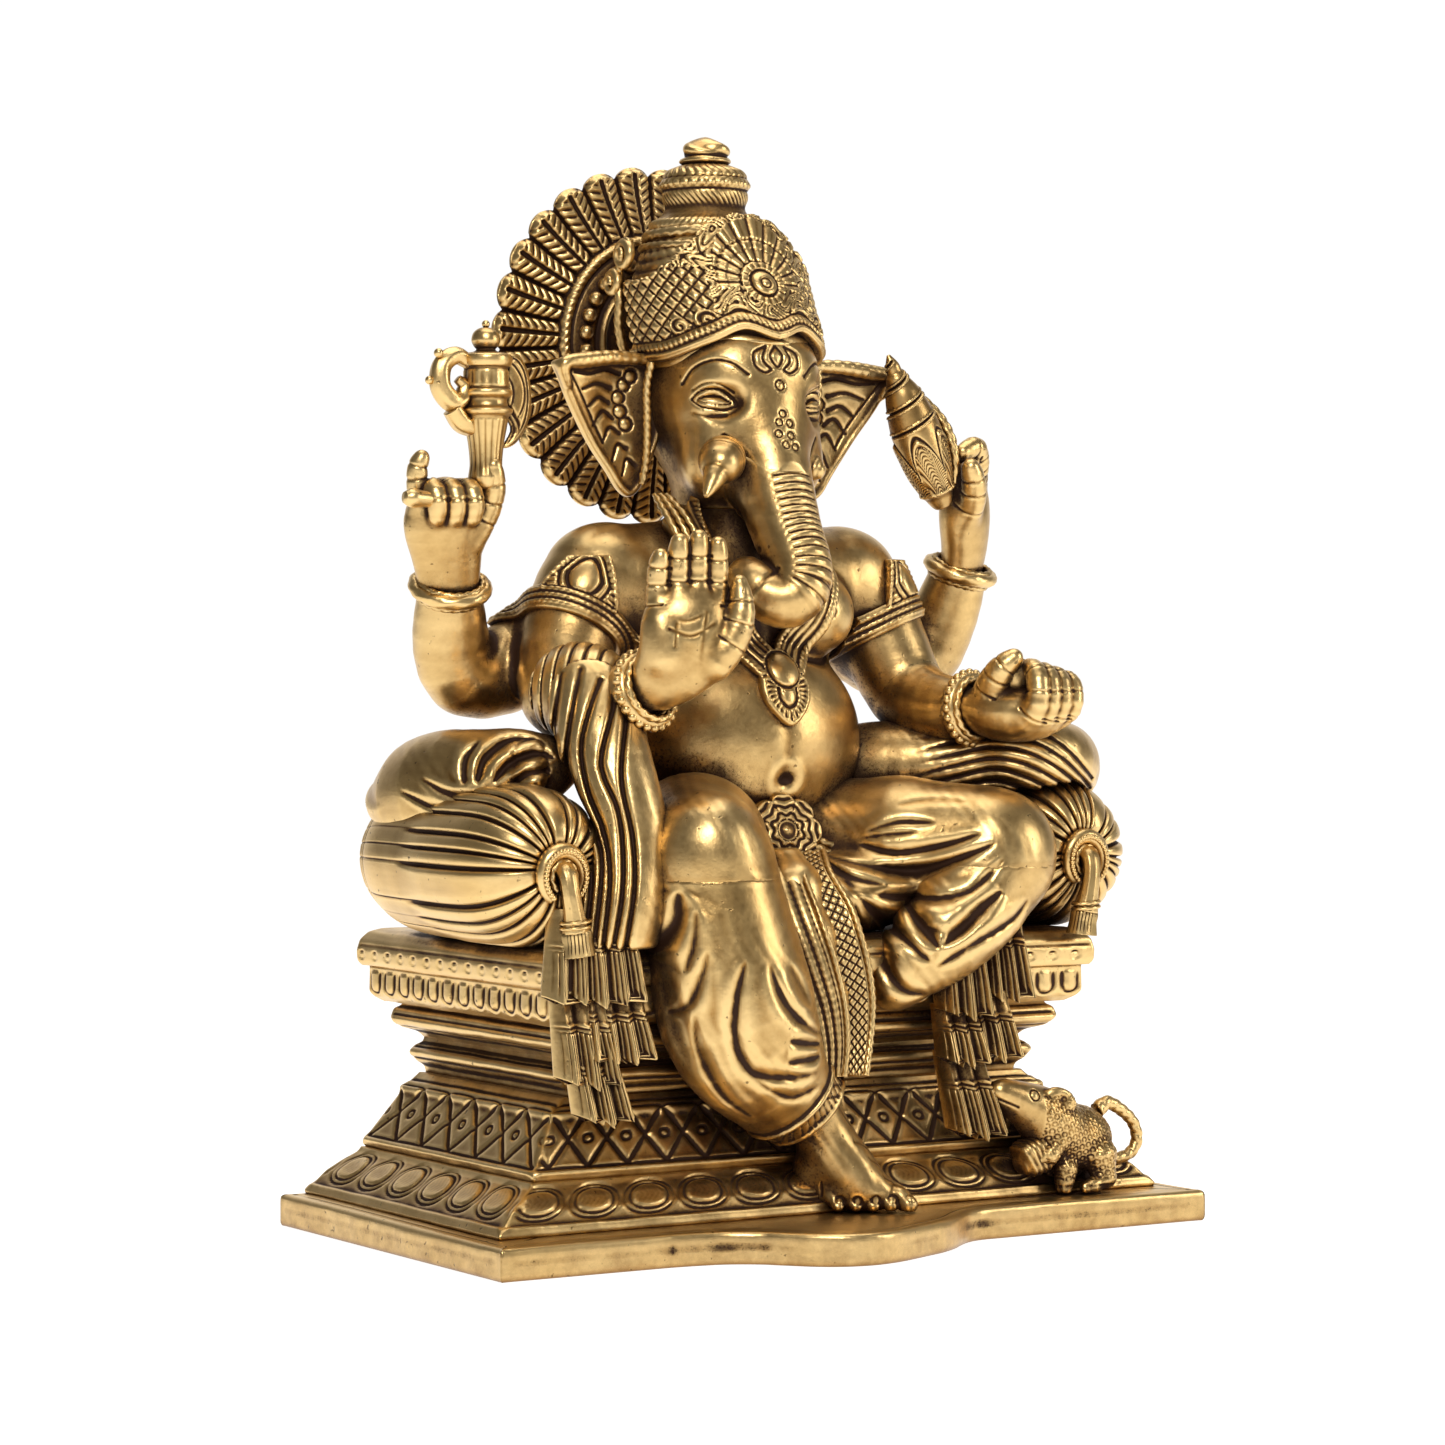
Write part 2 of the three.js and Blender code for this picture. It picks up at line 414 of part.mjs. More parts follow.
// ---- mouse
casting('mouse', AGED_BRASS, (grow) => join(
  blob([80, -50, 24.5], [14, 9, 10.5], { grow, detail: 12, turn: [0, 6, 0] }),
  limb([[72, -50.5, 27, 7.5], [63, -51, 31.5, 7], [55, -52, 35.5, 4.2], [49, -52, 38.5, 2]], { grow, sides: 8, steps: 4 }),
  ...[[67, 22], [63, 27]].map(([x, z]) => limb([[x + 6, -54, z, 4], [x - 2, -57, z - 5, 3.2]], { grow, sides: 6, steps: 1 })),
  ...[[76, -56], [88, -55], [88, -45], [76, -45]].map(([x, y]) => limb([[x, y, 20, 5], [x, y, 12.8, 4]], { grow, sides: 6, steps: 1 })),
  ...[[66.5, -56], [66.5, -46]].map(([x, y]) => blob([x, y, 38], [3.4, 2.2, 4], { grow, detail: 8 })),
));
casting('mouse_tail', AGED_BRASS, (grow) => limb([
  [92, -49, 31.5, 2.4], [98, -49, 30.8, 2.4], [105, -49, 26.5, 2.3], [106.5, -49, 20.5, 2.2], [101.5, -49, 16, 2.2], [93, -49, 17.5, 2],
], { grow, sides: 6, steps: 9 }));

// ---------------------------------------------------------------- assembly
const idol = new THREE.Group();
idol.position.y = SHIFT_Y;

const boxesMeet = (a, b) => [0, 1, 2].every((k) => a.min[k] < b.max[k] && b.min[k] < a.max[k]);
const placed = [];
for (const { name, finish, make } of castings) {
  let solid = make(0);
  for (const other of placed) {
    if (boxesMeet(solid.boundingBox(), other.boundingBox())) solid = solid.subtract(other);
  }
  // A cut can leave a crumb beside the casting; the casting is the largest piece.
  const pieces = solid.decompose().sort((a, b) => b.volume() - a.volume());
  placed.push(make(GAP).add(pieces[0]));
  const mesh = new THREE.Mesh(geometryFrom(pieces[0]), new THREE.MeshStandardMaterial(finish));
  mesh.name = name;
  idol.add(mesh);
}

export default idol;
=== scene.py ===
import math
import bpy
import numpy as np
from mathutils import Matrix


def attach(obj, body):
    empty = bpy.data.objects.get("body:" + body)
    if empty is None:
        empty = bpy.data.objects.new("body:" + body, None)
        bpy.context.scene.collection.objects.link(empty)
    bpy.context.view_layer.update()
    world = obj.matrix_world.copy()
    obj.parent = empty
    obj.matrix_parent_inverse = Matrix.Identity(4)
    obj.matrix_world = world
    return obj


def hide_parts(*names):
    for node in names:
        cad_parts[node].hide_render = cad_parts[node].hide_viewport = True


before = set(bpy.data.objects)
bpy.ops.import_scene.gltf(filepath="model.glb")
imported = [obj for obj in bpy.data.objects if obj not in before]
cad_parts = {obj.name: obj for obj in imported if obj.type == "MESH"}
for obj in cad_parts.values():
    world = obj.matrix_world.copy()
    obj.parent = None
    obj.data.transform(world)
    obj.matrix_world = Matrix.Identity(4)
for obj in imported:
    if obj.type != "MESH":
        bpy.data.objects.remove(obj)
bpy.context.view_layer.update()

import openvdb as vdb
from mathutils import Vector

# All shapes below are in millimetres in throne coordinates: origin under the middle of the
# base plate, -Y the way the idol faces, +Z up. SHIFT moves them to the row frame.
SHIFT = 13.25
MM = 0.001  # in metres
f32 = np.float32


# ------------------------------------------------------------------ small helpers
def turn(n):
    """n even steps round a full turn, in radians."""
    return np.linspace(0, 2 * np.pi, n, endpoint=False)


def unit(v):
    return np.array(v, float) / np.linalg.norm(v)


def lengths(path):
    """The length run so far at each point of a path."""
    return np.concatenate([[0], np.cumsum(np.linalg.norm(np.diff(path, axis=0), axis=1))])


def six_volumes(v, faces):
    """Six times the volume inside triangles or quads; negative when they face inwards."""
    c = [v[faces[:, k]] for k in range(faces.shape[1])]
    return sum(np.einsum("ij,ij->i", c[0], np.cross(c[k], c[k + 1])).sum() for k in range(1, len(c) - 1))


# ------------------------------------------------------------------ distance fields
class Grid:
    """A block of sample points; x, y, z broadcast against each other, and p holds the three."""

    def __init__(self, lo, hi, h):
        self.lo, self.h = np.array(lo, float), h
        n = [int(math.ceil((b - a) / h)) + 1 for a, b in zip(lo, hi)]
        self.n = n
        self.x = (lo[0] + h * np.arange(n[0], dtype=f32)).reshape(-1, 1, 1)
        self.y = (lo[1] + h * np.arange(n[1], dtype=f32)).reshape(1, -1, 1)
        self.z = (lo[2] + h * np.arange(n[2], dtype=f32)).reshape(1, 1, -1)
        self.p = (self.x, self.y, self.z)

    def full(self, d):
        """d as a writable block of its own."""
        return np.array(np.broadcast_to(d, self.n), f32)

    def near(self, d, band):
        """The points within band of the surface, as flat arrays, and their index."""
        d = np.broadcast_to(d, self.n)
        i = np.nonzero(np.abs(d) < band)
        return i, (self.x[i[0], 0, 0], self.y[0, i[1], 0], self.z[0, 0, i[2]])


def ell(p, c, r, turn=None):
    """Distance to an ellipsoid at c with half axes r; turn = degrees about x, y, z."""
    x, y, z = p[0] - c[0], p[1] - c[1], p[2] - c[2]
    if turn is not None:
        m = rot(*turn)
        x, y, z = (m[0][k] * x + m[1][k] * y + m[2][k] * z for k in range(3))
    q = (x / r[0]) ** 2 + (y / r[1]) ** 2 + (z / r[2]) ** 2
    k = (x / r[0] ** 2) ** 2 + (y / r[1] ** 2) ** 2 + (z / r[2] ** 2) ** 2
    s = np.sqrt(q)
    return s * (s - 1) / np.sqrt(k + 1e-9)


def rot(ax, ay, az):
    """The turn matrix for degrees about x, then y, then z."""
    ax, ay, az = (math.radians(a) for a in (ax, ay, az))
    cx, sx, cy, sy, cz, sz = math.cos(ax), math.sin(ax), math.cos(ay), math.sin(ay), math.cos(az), math.sin(az)
    return (np.array([[cz, -sz, 0], [sz, cz, 0], [0, 0, 1]]) @ np.array([[cy, 0, sy], [0, 1, 0], [-sy, 0, cy]])
            @ np.array([[1, 0, 0], [0, cx, -sx], [0, sx, cx]]))


def cone(p, a, b, ra, rb, flat=None):
    """A rounded cone; flat = (direction, factor) thins its section that way."""
    ax, ay, az = p[0] - a[0], p[1] - a[1], p[2] - a[2]
    v = np.array(b, float) - np.array(a, float)
    t = np.clip((ax * v[0] + ay * v[1] + az * v[2]) / max(v @ v, 1e-6), 0, 1)
    dx, dy, dz = ax - t * v[0], ay - t * v[1], az - t * v[2]
    r = ra + t * (rb - ra)
    if flat is None:
        return np.sqrt(dx * dx + dy * dy + dz * dz) - r
    n = unit(flat[0])
    s = (dx * n[0] + dy * n[1] + dz * n[2]) * (1 / flat[1] - 1)
    dx, dy, dz = dx + s * n[0], dy + s * n[1], dz + s * n[2]
    return (np.sqrt(dx * dx + dy * dy + dz * dz) - r) * (0.5 + 0.5 * flat[1])


def smin(a, b, k):
    """The smaller of two, melted over a width of k."""
    h = np.clip(0.5 + 0.5 * (b - a) / k, 0, 1)
    return b + (a - b) * h - k * h * (1 - h)


def smax(a, b, k):
    return -smin(-a, -b, k)


def chain(p, pts, k=2.0, flat=None):
    """Rounded cones through stations (x, y, z, radius), melted together."""
    d = None
    for a, b in zip(pts[:-1], pts[1:]):
        e = cone(p, a[:3], b[:3], a[3], b[3], flat)
        d = e if d is None else smin(d, e, k)
    return d


def smooth_path(pts, n):
    """A Catmull-Rom run of n points through pts (any number of columns)."""
    q = np.array(pts, float)
    q = np.vstack([2 * q[0] - q[1], q, 2 * q[-1] - q[-2]])
    out = []
    for u in np.linspace(0, len(q) - 3 - 1e-9, n):
        i, t = int(u), u - int(u)
        a, b, c, e = q[i:i + 4]
        out.append(0.5 * (2 * b + (c - a) * t + (2 * a - 5 * b + 4 * c - e) * t * t + (3 * b - a - 3 * c + e)
            * t ** 3))
    return np.array(out)


def track(p, path):
    """(distance, run along) of flat points p to a polyline: run is its length so far."""
    path = np.array(path, float)
    best = np.full(p[0].shape, 1e9, f32)
    run = np.zeros(p[0].shape, f32)
    s = 0.0
    for a, b in zip(path[:-1], path[1:]):
        v = b - a
        L = np.linalg.norm(v)
        if L < 1e-6:
            continue
        t = np.clip(sum((p[k] - a[k]) * v[k] for k in range(len(a))) / (L * L), 0, 1)
        d2 = sum((p[k] - a[k] - t * v[k]) ** 2 for k in range(len(a)))
        m = d2 < best
        best = np.where(m, d2, best)
        run = np.where(m, s + t * L, run)
        s += L
    return np.sqrt(best), run


def fade(x, a, b):
    """0 at a, 1 at b, smooth between; a may be above b."""
    t = np.clip((x - a) / (b - a), 0, 1)
    return t * t * (3 - 2 * t)


def bell(x, w):
    """1 at zero, gone beyond about two widths."""
    return np.exp(-(x / w) ** 2)


# ------------------------------------------------------------------ meshes
class Bag:
    """Vertices, quads and triangles of one piece, gathered from several closed skins."""

    def __init__(self):
        self.v, self.q, self.t, self.n = [], [], [], 0

    def put(self, v, q=None, t=None):
        v = np.asarray(v, f32)
        if q is not None and len(q):
            self.q.append(np.asarray(q, np.int64) + self.n)
        if t is not None and len(t):
            self.t.append(np.asarray(t, np.int64) + self.n)
        self.v.append(v)
        self.n += len(v)
        return self

    def field(self, d, g):
        """Adds the zero surface of distance block d on grid g."""
        d = np.ascontiguousarray(np.broadcast_to(d, g.n), dtype=f32)
        d = np.clip(d, -3 * g.h, 3 * g.h)
        for k in range(3):
            s = [slice(None)] * 3
            for e in (0, -1):
                s[k] = e
                d[tuple(s)] = np.maximum(d[tuple(s)], 0.4 * g.h)
        vol = vdb.FloatGrid(3 * g.h)
        vol.copyFromArray(d)
        v, t, q = vol.convertToPolygons(isovalue=0.0, adaptivity=0.0)
        v = v * g.h + g.lo
        if len(q) and six_volumes(v, q) < 0:
            q, t = q[:, ::-1], t[:, ::-1]
        return self.put(v, q, t)

    def sheet(self, rows, close_u=True, caps=True):
        """Adds a skin through rows of points (rows, columns, 3); close_u joins the last column to the first."""
        r = np.asarray(rows, float)
        m, n = r.shape[:2]
        i = np.arange(m * n).reshape(m, n)
        a = i[:-1] if close_u else i[:-1, :-1]
        b = np.roll(i, -1, 1)[:-1] if close_u else i[:-1, 1:]
        c = np.roll(i, -1, 1)[1:] if close_u else i[1:, 1:]
        e = i[1:] if close_u else i[1:, :-1]
        q = np.stack([a, b, c, e], -1).reshape(-1, 4)
        v = r.reshape(-1, 3)
        t = []
        if caps and close_u:
            v = np.vstack([v, r[0].mean(0), r[-1].mean(0)])
            j = np.arange(n)
            k = np.roll(j, -1)
            t = np.vstack([np.stack([k, j, np.full(n, m * n)], 1),
                           np.stack([(m - 1) * n + j, (m - 1) * n + k, np.full(n, m * n + 1)], 1)])
        if six_volumes(v, q) + (six_volumes(v, t) if len(t) else 0) < 0:
            q = q[:, ::-1]
            t = t[:, ::-1] if len(t) else t
        return self.put(v, q, t)

    def ring(self, rows):
        """Adds a skin closed both along its rows and round them."""
        m, n = rows.shape[:2]
        i = np.arange(m * n).reshape(m, n)
        j = np.roll(i, -1, 0)
        q = np.stack([i, np.roll(i, -1, 1), np.roll(j, -1, 1), j], -1).reshape(-1, 4)
        v = rows.reshape(-1, 3)
        return self.put(v, q[:, ::-1] if six_volumes(v, q) < 0 else q)

    def tube(self, path, radius, sides=10, twist=0, strands=0, depth=0.25, closed=False, flat=None):
        """A wire along path; strands and twist (turns per mm) make it a rope."""
        P = np.asarray(path, float)
        m = len(P)
        T = np.roll(P, -1, 0) - np.roll(P, 1, 0) if closed else np.gradient(P, axis=0)
        T /= np.linalg.norm(T, axis=1)[:, None] + 1e-9
        N = np.zeros_like(P)
        ref = np.array([0, 0, 1.0]) if abs(T[0][2]) < 0.8 else np.array([0, 1.0, 0])
        N[0] = np.cross(T[0], ref)
        N[0] /= np.linalg.norm(N[0])
        for i in range(1, m):
            N[i] = N[i - 1] - T[i] * (N[i - 1] @ T[i])
            N[i] /= np.linalg.norm(N[i]) + 1e-9
        if closed:
            B0 = np.cross(T[0], N[0])
            e = N[-1] - T[0] * (N[-1] @ T[0])
            off = math.atan2(e @ B0, e @ N[0])
            for i in range(m):
                c, s = math.cos(-off * i / m), math.sin(-off * i / m)
                N[i] = N[i] * c + np.cross(T[i], N[i]) * s
        B = np.cross(T, N)
        step = np.linalg.norm(np.diff(P, axis=0, prepend=P[:1]), axis=1)
        run = np.cumsum(step)
        turns = twist * run
        if closed:
            total = run[-1] + np.linalg.norm(P[0] - P[-1])
            turns = round(twist * total) * run / total
        th = turn(sides)
        R = np.asarray(radius, float) * np.ones(m)
        prof = np.ones((m, sides))
        if strands:
            prof = 1 - depth * (1 - np.abs(np.cos(0.5 * strands * th[None] + np.pi * turns[:, None])))
        a = R[:, None] * prof * np.cos(th)
        b = R[:, None] * prof * np.sin(th) * (flat or 1)
        rows = P[:, None] + a[..., None] * N[:, None] + b[..., None] * B[:, None]
        return self.ring(rows) if closed else self.sheet(rows)

    def beads(self, centres, radii, squash=None, n=10):
        """Small balls; squash = (direction, factor)."""
        th = turn(n)
        ph = np.linspace(0.06, np.pi - 0.06, max(5, n * 6 // 10))
        ring = np.stack([np.sin(ph)[:, None] * np.cos(th), np.sin(ph)[:, None] * np.sin(th),
                         np.cos(ph)[:, None] * np.ones(n)], -1)
        radii = np.asarray(radii, float) * np.ones(len(centres))
        for c, r in zip(np.asarray(centres, float), radii):
            v = ring * r
            if squash is not None:
                d = unit(squash[0])
                v = v + (v @ d)[..., None] * d * (squash[1] - 1)
            self.sheet(v + c)
        return self


def smoothed(v, e, rounds):
    """Points v after some rounds of being drawn towards their neighbours along edges e."""
    n = len(v)
    count = np.bincount(e.ravel(), minlength=n).astype(float)[:, None] + 1e-9
    p = v.copy()
    for _ in range(rounds):
        s = np.empty_like(p)
        for k in range(3):
            s[:, k] = np.bincount(e[:, 0], p[e[:, 1], k], n) + np.bincount(e[:, 1], p[e[:, 0], k], n)
        p = 0.35 * p + 0.65 * s / count
    return p


def piece(name, bag, nodes=None, slot="brass", calm=None):
    """Makes the object, with a cavity value at each vertex: positive in hollows, negative on ridges."""
    v = np.concatenate(bag.v).astype(float)
    quads = np.concatenate(bag.q) if bag.q else np.zeros((0, 4), np.int64)
    tris = np.concatenate(bag.t) if bag.t else np.zeros((0, 3), np.int64)
    nrm = np.zeros_like(v)
    e = []
    for f in (quads, tris):
        if not len(f):
            continue
        k = f.shape[1]
        fn = np.cross(v[f[:, 2]] - v[f[:, 0]], v[f[:, -1]] - v[f[:, 1]]) if k == 4 else np.cross(
            v[f[:, 1]] - v[f[:, 0]], v[f[:, 2]] - v[f[:, 0]])
        for j in range(k):
            for c in range(3):
                nrm[:, c] += np.bincount(f[:, j], fn[:, c], len(v))
            e.append(np.stack([f[:, j], f[:, (j + 1) % k]], 1))
    e = np.concatenate(e)
    nrm /= np.linalg.norm(nrm, axis=1)[:, None] + 1e-12
    fine = smoothed(v, e, 5)
    wide = smoothed(fine, e, 22)
    cav = ((fine - v) * nrm).sum(1) * 2.2 + ((wide - v) * nrm).sum(1)
    if calm is not None:
        cav *= calm(tuple(v.T.astype(f32)))
    mesh = bpy.data.meshes.new(name)
    w = (v + [0, SHIFT, 0]) * MM
    mesh.vertices.add(len(w))
    mesh.vertices.foreach_set("co", w.astype(f32).ravel())
    nl = quads.size + tris.size
    mesh.loops.add(nl)
    mesh.loops.foreach_set("vertex_index", np.concatenate([quads.ravel(), tris.ravel()]).astype(np.int32))
    sizes = np.concatenate([np.full(len(quads), 4), np.full(len(tris), 3)])
    mesh.polygons.add(len(sizes))
    mesh.polygons.foreach_set("loop_start", np.concatenate([[0], np.cumsum(sizes)[:-1]]).astype(np.int32))
    mesh.polygons.foreach_set("use_smooth", np.ones(len(sizes), bool))
    mesh.update(calc_edges=True)
    mesh.validate()
    at = mesh.attributes.new("cavity", "FLOAT", "POINT")
    if len(mesh.vertices) == len(cav):
        at.data.foreach_set("value", cav.astype(f32))
    obj = bpy.data.objects.new(name + "_visual", mesh)
    bpy.context.scene.collection.objects.link(obj)
    mesh.materials.append(MATERIALS[slot])
    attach(obj, "root")
    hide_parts(*(nodes or [name]))
    print("piece", name, len(w), len(sizes))
    return obj


# ------------------------------------------------------------------ brass
# Linear colours: two casts of the metal, each worn and dull, then what lies on it: a brown for painted shade,
# grime that also carries painted shade, and pits.
WORN, DULL = (0.85, 0.60, 0.265), (0.39, 0.215, 0.062)
WORN_RED, DULL_RED = (0.79, 0.53, 0.21), (0.31, 0.16, 0.043)
PAINTED_SHADE_BROWN, GRIME_AND_SHADE, PIT = (0.170, 0.066, 0.013), (0.036, 0.012, 0.003), (0.07, 0.035, 0.012)
# The wider reach finds spots closed in by nearby parts; the material paints shade there.
CRANNY_REACH, PAINTED_SHADE_REACH = 0.009, 0.045  # metres
AO_SAMPLES = 6
BASE_ROUGHNESS, BUMP_STRENGTH, BUMP_HEIGHT = 0.20, 0.28, 0.0004


def brass(name, lift, grime):
    """Antique brass: polished on the ridges, brown-black patina in the hollows, and painted shade where nearby
    parts close round a spot.
    """
    m = bpy.data.materials.new(name)
    m.use_nodes = True
    nt = m.node_tree
    nt.nodes.clear()

    def maths(op, a, b=0.0, clamp=False):
        n = nt.nodes.new("ShaderNodeMath")
        n.operation, n.use_clamp = op, clamp
        for s, v in zip(n.inputs, (a, b)):
            if isinstance(v, bpy.types.NodeSocket):
                nt.links.new(v, s)
            else:
                s.default_value = v
        return n.outputs[0]

    def ramp(fac, stops):
        n = nt.nodes.new("ShaderNodeValToRGB")
        nt.links.new(fac, n.inputs[0])
        while len(n.color_ramp.elements) < len(stops):
            n.color_ramp.elements.new(0.5)
        for e, (pos, col) in zip(n.color_ramp.elements, stops):
            e.position = pos
            e.color = (*col, 1) if not isinstance(col, float) else (col, col, col, 1)
        return n.outputs[0]

    co = nt.nodes.new("ShaderNodeTexCoord").outputs["Object"]

    def noise_at(scale, detail=3.0, rough=0.55, stretch=None):
        v = co
        if stretch:
            mp = nt.nodes.new("ShaderNodeMapping")
            nt.links.new(co, mp.inputs[0])
            mp.inputs["Scale"].default_value = stretch
            mp.inputs["Rotation"].default_value = (0.5, 0.7, 0.3)
            v = mp.outputs[0]
        n = nt.nodes.new("ShaderNodeTexNoise")
        nt.links.new(v, n.inputs["Vector"])
        n.inputs["Scale"].default_value = scale
        n.inputs["Detail"].default_value = detail
        n.inputs["Roughness"].default_value = rough
        return n.outputs["Fac"]

    att = nt.nodes.new("ShaderNodeAttribute")
    att.attribute_name = "cavity"
    cav = att.outputs["Fac"]

    def closed_in(reach):
        """0 in the open, 1 where nothing is open within reach."""
        n = nt.nodes.new("ShaderNodeAmbientOcclusion")
        n.samples = AO_SAMPLES
        n.inputs["Distance"].default_value = reach
        return maths("SUBTRACT", 1.0, n.outputs["AO"])

    def plus(total, term, weight, zero=0.0):
        """total + (term - zero) * weight"""
        if zero:
            term = maths("SUBTRACT", term, zero)
        return maths("ADD", total, maths("MULTIPLY", term, weight))

    # The tight look finds hollows for grime and patina; the wide look paints shade where nearby parts close in.
    cranny, painted_shade = closed_in(CRANNY_REACH), closed_in(PAINTED_SHADE_REACH)
    big, mid, small = noise_at(38, 4), noise_at(220, 4, 0.65), noise_at(900, 3, 0.6)
    streak = noise_at(260, 3, 0.6, (1.0, 0.12, 1.0))
    # How dirty a spot is, with painted shade mixed in: grime in hollows and crannies, broken up by noise, plus
    # painted shade from the wide occlusion look.
    speck = ramp(noise_at(1500, 2, 0.6), [(0.52, 0.0), (0.66, 1.0)])
    grime_and_shade = maths("MULTIPLY", cav, 3.0)
    for term in ((cranny, 1.3), (mid, 1.0, 0.5), (big, 0.75, 0.5), (painted_shade, 0.85, 0.38),
                 (maths("MULTIPLY", speck, painted_shade), 0.85)):
        grime_and_shade = plus(grime_and_shade, *term)
    grime_and_shade = maths("ADD", grime_and_shade, grime)
    grime_and_shade_mask = ramp(grime_and_shade, [(0.16, 0.0), (0.62, 1.0)])
    shine = plus(maths("MULTIPLY", cav, -2.4), streak, 0.7, 0.45)
    shine = maths("ADD", shine, lift, True)
    pits = ramp(noise_at(520, 2, 0.5), [(0.70, 0.0), (0.76, 1.0)])

    def mix(fac, a, b):
        n = nt.nodes.new("ShaderNodeMix")
        n.data_type = "RGBA"
        nt.links.new(fac, n.inputs[0])
        for s, v in ((n.inputs[6], a), (n.inputs[7], b)):
            if isinstance(v, bpy.types.NodeSocket):
                nt.links.new(v, s)
            else:
                s.default_value = (*v, 1)
        return n.outputs[2]

    base = mix(shine, DULL, WORN)
    base = mix(ramp(big, [(0.35, 0.0), (0.7, 1.0)]), base, mix(shine, DULL_RED, WORN_RED))
    # A brown wash of painted shade over spots closed in by nearby parts, mottled by noise.
    painted_shade_mask = ramp(plus(painted_shade, mid, 0.6, 0.5), [(0.26, 0.0), (0.76, 1.0)])
    base = mix(maths("MULTIPLY", painted_shade_mask, 0.80), base, PAINTED_SHADE_BROWN)
    # Grime colour laid on where the mask is high; the mask also carries painted shade, so this paints shade too.
    base = mix(grime_and_shade_mask, base, GRIME_AND_SHADE)
    base = mix(maths("MULTIPLY", pits, 0.7), base, PIT)
    rough = plus(plus(maths("MULTIPLY", grime_and_shade_mask, 0.34), small, 0.16), streak, 0.12)
    rough = maths("ADD", rough, BASE_ROUGHNESS)
    metal = maths("SUBTRACT", 1.0, maths("MULTIPLY", grime_and_shade_mask, 0.45))
    height = plus(plus(plus(maths("MULTIPLY", small, 0.35), mid, 0.9), streak, 0.5), pits, -0.6)
    bump = nt.nodes.new("ShaderNodeBump")
    bump.inputs["Strength"].default_value = BUMP_STRENGTH
    bump.inputs["Distance"].default_value = BUMP_HEIGHT
    nt.links.new(height, bump.inputs["Height"])
    bsdf = nt.nodes.new("ShaderNodeBsdfPrincipled")
    for k, v in (("Base Color", base), ("Roughness", rough), ("Metallic", metal), ("Normal", bump.outputs[0])):
        nt.links.new(v, bsdf.inputs[k])
    out = nt.nodes.new("ShaderNodeOutputMaterial")
    nt.links.new(bsdf.outputs[0], out.inputs[0])
    return m


MATERIALS = {"brass": brass("brass", 0.42, -0.05), "aged_brass": brass("aged_brass", 0.25, 0.10)}


# ------------------------------------------------------------------ throne
CORE_HALF, CORE_FRONT, CORE_BACK, CORE_MID = 62.0, -20.0, 46.0, 13  # the open casting core
PLATE_TOP, PLATE_STEP = 8.8, 0.8


def core_edge(P):
    """The point on the core's edge in the direction of each outline point."""
    ang = np.arctan2(P[:, 1] - CORE_MID, P[:, 0])
    ex, ey = np.cos(ang), np.sin(ang)
    deep = np.where(ey > 0, CORE_BACK - CORE_MID, CORE_MID - CORE_FRONT)
    k = np.minimum(CORE_HALF / np.maximum(abs(ex), 1e-6), deep / np.maximum(abs(ey), 1e-6))
    return np.stack([ex * k, CORE_MID + ey * k], 1)


def plate_outline():
    """The base plate's edge, anticlockwise from the front left corner, seen from above."""
    lobe = [(-62, -65), (-54, -66), (-46.8, -67.8), (-40, -72), (-36, -76.5), (-30, -83), (-24, -87),
        (-18, -88.8), (-12, -89),
            (-5, -87.4), (2, -84.6), (8, -82), (14, -79.3), (20.7, -75), (26, -70.5), (30.6, -67.2),
            (36, -65.2), (44, -65)]
    lobe = smooth_path(lobe, 150)
    pts = [(-112.5, -64.6)] + [tuple(q) for q in lobe] + [(112.5, -65), (112.5, 62.5), (-112.5, 62.5),
        (-112.5, -64.6)]
    out = []
    for a, b in zip(pts[:-1], pts[1:]):
        a, b = np.array(a), np.array(b)
        n = max(1, int(np.linalg.norm(b - a) / PLATE_STEP))
        out += [a + (b - a) * k / n for k in range(n)]
    return np.array(out)


def make_plate():
    P = plate_outline()
    n = len(P)
    T = np.roll(P, -1, 0) - np.roll(P, 1, 0)
    N = np.stack([T[:, 1], -T[:, 0]], 1)
    N /= np.linalg.norm(N, axis=1)[:, None]
    run = np.arange(n) * PLATE_STEP
    wob = 0.22 * np.sin(run / 17.0) + 0.15 * np.sin(run / 5.3 + 1) + 0.10 * np.sin(run / 2.1)
    prof = [(-1.4, 0.0), (-0.6, 0.12), (-0.12, 0.7), (0, 1.5)] + [(0.0, z) for z in np.arange(2.2, 7.0,
        0.6)] + [
        (-0.05, 7.4), (-0.25, 8.1), (-0.8, 8.55), (-1.6, 8.75), (-2.6, 8.8), (-3.4, 8.72), (-4.0, 8.55),
        (-4.6, 8.7), (-5.4, 8.8), (-7, 8.8)]
    # Rows that run well in from the edge use slowly turning normals, so they do not cross at the corners.
    S = N.copy()
    for _ in range(150):
        S = 0.5 * S + 0.25 * (np.roll(S, 1, 0) + np.roll(S, -1, 0))
    rows = []
    for o, z in prof:
        k = fade(z, 0, 2) * (1 - fade(z, 7, 8.5))
        near = max(o, -0.8)
        c = P + N * (near + wob * 0.35 * k)[:, None] + S * (o - near)
        rows.append(np.column_stack([c, z + 0.12 * np.sin(run / 23.0) * (z > 6)]))
    edge = np.array(rows)
    # Top and underside run in to the open core, so the skin closes on itself as a ring.
    inner = core_edge(P)
    extra = []
    for f in np.linspace(0.12, 1, 6):
        q = edge[-1][:, :2] * (1 - f) + inner * f
        extra.append(np.column_stack([q, np.full(n, PLATE_TOP)]))
    extra.append(np.column_stack([inner, np.full(n, 0.0)]))
    for f in np.linspace(0.8, 0, 4):
        q = edge[0][:, :2] * (1 - f) + inner * f
        extra.append(np.column_stack([q, np.zeros(n)]))
    piece("base_plate", Bag().ring(np.concatenate([edge, np.array(extra)[:-1]])))


